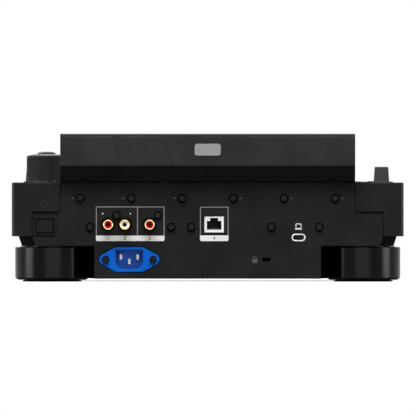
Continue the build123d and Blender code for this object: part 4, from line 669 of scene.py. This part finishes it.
# ------------------------------------------------------------------ keys
# Moulded keys that come up through the panel.  Round ones have a clear ring let into the top
# for a lamp, and each carries its symbol in pale ink.
key_black = finish("key_black", (0.016, 0.016, 0.0165), 0.42, 0.5, 0.003, specular=0.12, wear_and_sheen=0.3)
ring_smoke = finish("ring_smoke", (0.16, 0.17, 0.16), 0.25, cloud=0.05, specular=0.5)
key_clear = finish("key_clear", (0.19, 0.19, 0.19), 0.38, 0.5, 0.003, cloud=0.05, specular=0.45, wear_and_sheen=0.2,
                   wear_and_sheen_colour=(0.3, 0.3, 0.3))
KEY_TOP, GROOVE, RING_WIDTH = PANEL_Z + 1.2, 0.5, 0.46


def lit_ring(node, inner):
    """Clear ring in the groove of a round key, which has this inner radius."""
    ring = Print((*spot(node), KEY_TOP - GROOVE))
    ring.line(arc(0, 0, inner + 0.25, 0, 360, 72), RING_WIDTH, True, layer=round(GROOVE / FILM) - 1)
    ring.piece(node + "_ring", node, ring_smoke)


def triangle(x, r, way=1):
    """Arrowhead that points across."""
    return [(x - way * r * 0.8, r), (x - way * r * 0.8, -r), (x + way * r * 0.8, 0)]


def bar(x, height, width=0.7):
    """Upright bar of a half height."""
    left, right = x - width / 2, x + width / 2
    return [(left, -height), (right, -height), (right, height), (left, height)]


FILLS = {
    "play_button": [triangle(-3.2, 3.0), bar(2.2, 2.8, 1.4), bar(5.0, 2.8, 1.4)],
    "cue_button": [bar(-3.6, 2.8, 1.4), triangle(0.6, 3.0, -1)],
    "search_back_button": [triangle(-1.5, 1.6, -1), triangle(1.2, 1.6, -1)],
    "search_forward_button": [triangle(-1.2, 1.6), triangle(1.5, 1.6)],
    "track_back_button": [bar(-3.2, 1.6), triangle(-1.3, 1.6, -1), triangle(1.4, 1.6, -1)],
    "track_forward_button": [triangle(-1.4, 1.6), triangle(1.3, 1.6), bar(3.2, 1.6)],
    "beat_back_button": [triangle(0, 1.5, -1)],
    "beat_forward_button": [triangle(0, 1.5)],
    "reloop_button": [triangle(2.6, 1.2)],
}
LINES = {
    "loop_in_button": [[(1.2, 2.6), (-1.2, 2.6), (-1.2, -2.6), (1.2, -2.6)]],
    "loop_out_button": [[(-1.2, 2.6), (1.2, 2.6), (1.2, -2.6), (-1.2, -2.6)]],
    "reloop_button": [arc(0, 0, 2.6, 60, 332, 20)],
    "sync_key": [[(-2.6, 1.0), (2.6, 1.0)], [(-2.6, -1.0), (2.6, -1.0)]],
    "master_key": [arc(0, 0, 2.2, 0, 360, 32)],
    "tempo_reset_key": [arc(0, 0, 1.2, 0, 360, 24)],
}
SYMBOL_LINE, CUE_FIGURE = 0.55, 4.2
RINGED = {"play_button": 14.2, "cue_button": 14.2, "loop_in_button": 6.4, "loop_out_button": 6.4,
          "sync_key": 6.2, "master_key": 6.2}
for node in sorted({*FILLS, *LINES}):
    dress(node, key_black)
    if node in RINGED:
        lit_ring(node, RINGED[node])
    symbol = Print((*spot(node), KEY_TOP))
    for outline in FILLS.get(node, []):
        symbol.fill(outline)
    for path in LINES.get(node, []):
        whole = (Vector(path[0]) - Vector(path[-1])).length < SAME_POINT
        symbol.line(path, SYMBOL_LINE, closed=whole)
    symbol.piece(node + "_symbol", node, ink_pale)
for k in range(8):
    node = f"hot_cue_{k + 1}"
    dress(node, key_clear)
    symbol = Print((*spot(node), KEY_TOP))
    symbol.numeral(str(k + 1), 0, 0, CUE_FIGURE)
    symbol.piece(node + "_figure", node, ink_black)

ROWS = {"mode_keys": (0, 20.0, 3), "browse_keys": (0, 20.0, 2), "memory_keys": (16.0, 0, 4),
        "tempo_keys": (23.6, 0, 2)}     # pitch across and along, and count
DASH_LINE, DASH_HALF, LIST_HALF, LIST_PITCH = 0.5, 2.4, 2.2, 1.3
for node, (across, along, count) in ROWS.items():
    dress(node, key_black)
    symbol = Print((*spot(node), KEY_TOP))
    for k in range(count):
        x, y = (k - (count - 1) / 2) * across, (k - (count - 1) / 2) * along
        if node == "memory_keys" and k < 2:
            symbol.fill([(x + dx, y + dy) for dx, dy in triangle(0, 1.2, (-1, 1)[k])])
        elif node == "browse_keys":
            for level in (-LIST_PITCH, 0, LIST_PITCH)[: 3 - k]:
                symbol.line([(x - LIST_HALF, y + level), (x + LIST_HALF, y + level)], DASH_LINE)
        elif node == "tempo_keys" and k:
            symbol.line([(x - 3, y), (x - 1, y + 1), (x + 1, y - 1), (x + 3, y)], DASH_LINE)
        else:
            symbol.line([(x - DASH_HALF, y), (x + DASH_HALF, y)], DASH_LINE)
    symbol.piece(node + "_symbols", node, ink_pale)


# ------------------------------------------------------------------ jog wheel
# A ribbed grip ring and an anodised plate with fine turning marks, on a hub that slides on a bush.
# The slotted disc under it is read by the sensor; the round display in the middle stands still.
JOG_Y, DIAL_GLASS_R = -86.0, 32.3


def turned(place):
    """Fine circles about the wheel's axis."""
    middle = place.node("VectorMath", {"operation": "SUBTRACT"}, {0: place, 1: (0, JOG_Y * MM, 0)})
    level = place.node("VectorMath", {"operation": "MULTIPLY"}, {0: middle, 1: (1, 1, 0)})
    reach = place.node("VectorMath", {"operation": "LENGTH"}, {0: level}, "Value")
    marks = reach.node("TexNoise", {"noise_dimensions": "1D"}, {"W": reach, "Scale": 1500.0, "Detail": 3.0})
    return marks * 0.006


platter_metal = finish("platter_metal", (0.017, 0.017, 0.0185), 0.36, 0.4, 0.0005, cloud=0.07,
                       wear_and_sheen=0.5, metal=0.25, specular=0.2, relief=turned)
rim_black = finish("rim_black", (0.016, 0.016, 0.017), 0.36, 0.5, 0.001, specular=0.4, wear_and_sheen=0.6,
                   wear_and_sheen_colour=(0.09, 0.09, 0.09))
ring_clear = finish("ring_clear", (0.07, 0.07, 0.075), 0.2, cloud=0.05, specular=0.5, coat=0.3)
inner_black = finish("inner_black", (0.02, 0.02, 0.02), 0.6, specular=0.15)
disc_steel = finish("disc_steel", (0.5, 0.5, 0.51), 0.35, metal=1.0)
bush_white = finish("bush_white", (0.55, 0.53, 0.47), 0.5)
glass_black = finish("glass_black", (0.004, 0.0043, 0.0047), 0.09, 2.0, 0.0, cloud=0.1, specular=0.04,
                     rounding=0.2)
dress("jog_rim", rim_black)
dress("jog_platter", platter_metal)
dress("jog_encoder_disc", disc_steel)
dress("jog_bearing", bush_white)
dress("jog_base", inner_black)
dress("jog_light_ring", ring_clear)
dress("jog_display", glass_black, rim_black,
      choose=lambda middle, way: int(middle.x ** 2 + (middle.y - JOG_Y) ** 2 > DIAL_GLASS_R ** 2))
DIAL_GLASS_TOP, CIRCLE_R, NEEDLE = PANEL_Z + 11.2, 30.4, (27.6, 29.8)
dial = Print((0, JOG_Y, DIAL_GLASS_TOP))
dial.line(arc(0, 0, CIRCLE_R, 0, 360, 72), 0.3)
dial.line([(0, y) for y in NEEDLE], 0.5)
dial.piece("jog_dial_lines", "cabinet", ink_grey)


# ------------------------------------------------------------------ browse knob and small knobs
# A knurled drum with a domed cap turns the encoder's steel sleeve and clicks down into it; two
# small fluted knobs with a pale pointer turn their potentiometers.
knob_black = finish("knob_black", (0.021, 0.021, 0.022), 0.5, 0.5, 0.002, specular=0.05, wear_and_sheen=0.5,
                    wear_and_sheen_colour=(0.08, 0.08, 0.08))
dress("selector_knob", knob_black)
dress("selector_rotor", part_black)
POINTER_HALF, POINTER_START, POINTER_Z = 0.52, 0.9, 95.6
for node in ("jog_adjust_knob", "speed_adjust_knob"):
    x, y = spot(node)
    dress(node, knob_black, ink_pale, choose=lambda middle, way: int(
        abs(middle.x - x) < POINTER_HALF and middle.y > y + POINTER_START
        and abs(middle.z - POINTER_Z) < 0.3))


# ------------------------------------------------------------------ tempo fader
# A plated trough with two rails under the slot, and a wedge-shaped cap with a pale line on its
# centre bar.
fader_zinc = finish("fader_zinc", (0.06, 0.06, 0.06), 0.4, 0.4, 0.002, metal=0.8)
dress("tempo_fader", fader_zinc)
dress("tempo_slider", key_black)
CAP_TOP, LINE_HALF = PANEL_Z + 14.0, (9.3, 0.35)
centre_line = Print((FADER_X, FADER_Y, CAP_TOP))
centre_line.fill(rounded(-LINE_HALF[0], LINE_HALF[0], -LINE_HALF[1], LINE_HALF[1], 0))
centre_line.piece("tempo_slider_line", "tempo_slider", ink_white)


# ------------------------------------------------------------------ direction lever
# Wedge-shaped cap on a drum that tips forwards and back on two pins.
lever_black = finish("lever_black", (0.04, 0.04, 0.041), 0.45, 0.5, 0.003, specular=0.1, wear_and_sheen=0.3)
dress("direction_lever", lever_black)


# ------------------------------------------------------------------ display head
# Moulded housing that leans over the rear edge, with a gloss bezel, six slim keys and a bonded
# touch display.  It stands on a thin rubber gasket, and its back has a plain satin plate.
head_black = finish("head_black", (0.0298, 0.0298, 0.0301), 0.5, 0.6, 0.006, specular=0.04, wear_and_sheen=0.5,
                    wear_and_sheen_colour=(0.11, 0.11, 0.11), rounding=1.3)
neck_shade_black = finish("neck_shade_black", (0.0185, 0.0185, 0.019), 0.55, 0.6, 0.006, specular=0.02)
bezel_black = finish("bezel_black", (0.009, 0.009, 0.0095), 0.22, 1.0, 0.0005, specular=0.12)
HEAD_REAR_Y, NECK_Y, NECK_TOP = 226.5, 200, 99
# The neck's downward-facing faces take a darker copy of the housing's black: painted shade.
dress("display_housing", head_black, neck_shade_black,
      choose=lambda middle, way: int(way.z < -0.5 and middle.y > NECK_Y and middle.z < NECK_TOP))
dress("display_bezel", bezel_black)
dress("touch_display", glass_black)
dress("menu_keys", key_black)

plate_metal = finish("plate_metal", (0.17, 0.17, 0.172), 0.45, 0.4, 0.001, cloud=0.06, metal=0.6)
badge = Print((0, HEAD_REAR_Y, 111.0), across=(-1, 0, 0), up=(0, 0, 1))
badge.fill(rounded(-11.0, 11.0, -5.0, 5.0, 2.2), layer=5)
badge.piece("display_nameplate", "cabinet", plate_metal)

GASKET_WIDTH, GASKET_LIFT = 3.0, 0.02
gasket = Print((0, 0, PANEL_Z + GASKET_LIFT))
gasket.line(rounded(-121.5, 121.5, 78.4, 210.6, 2.0), GASKET_WIDTH, True, layer=4)
gasket.piece("display_gasket", "cabinet", rubber_black)
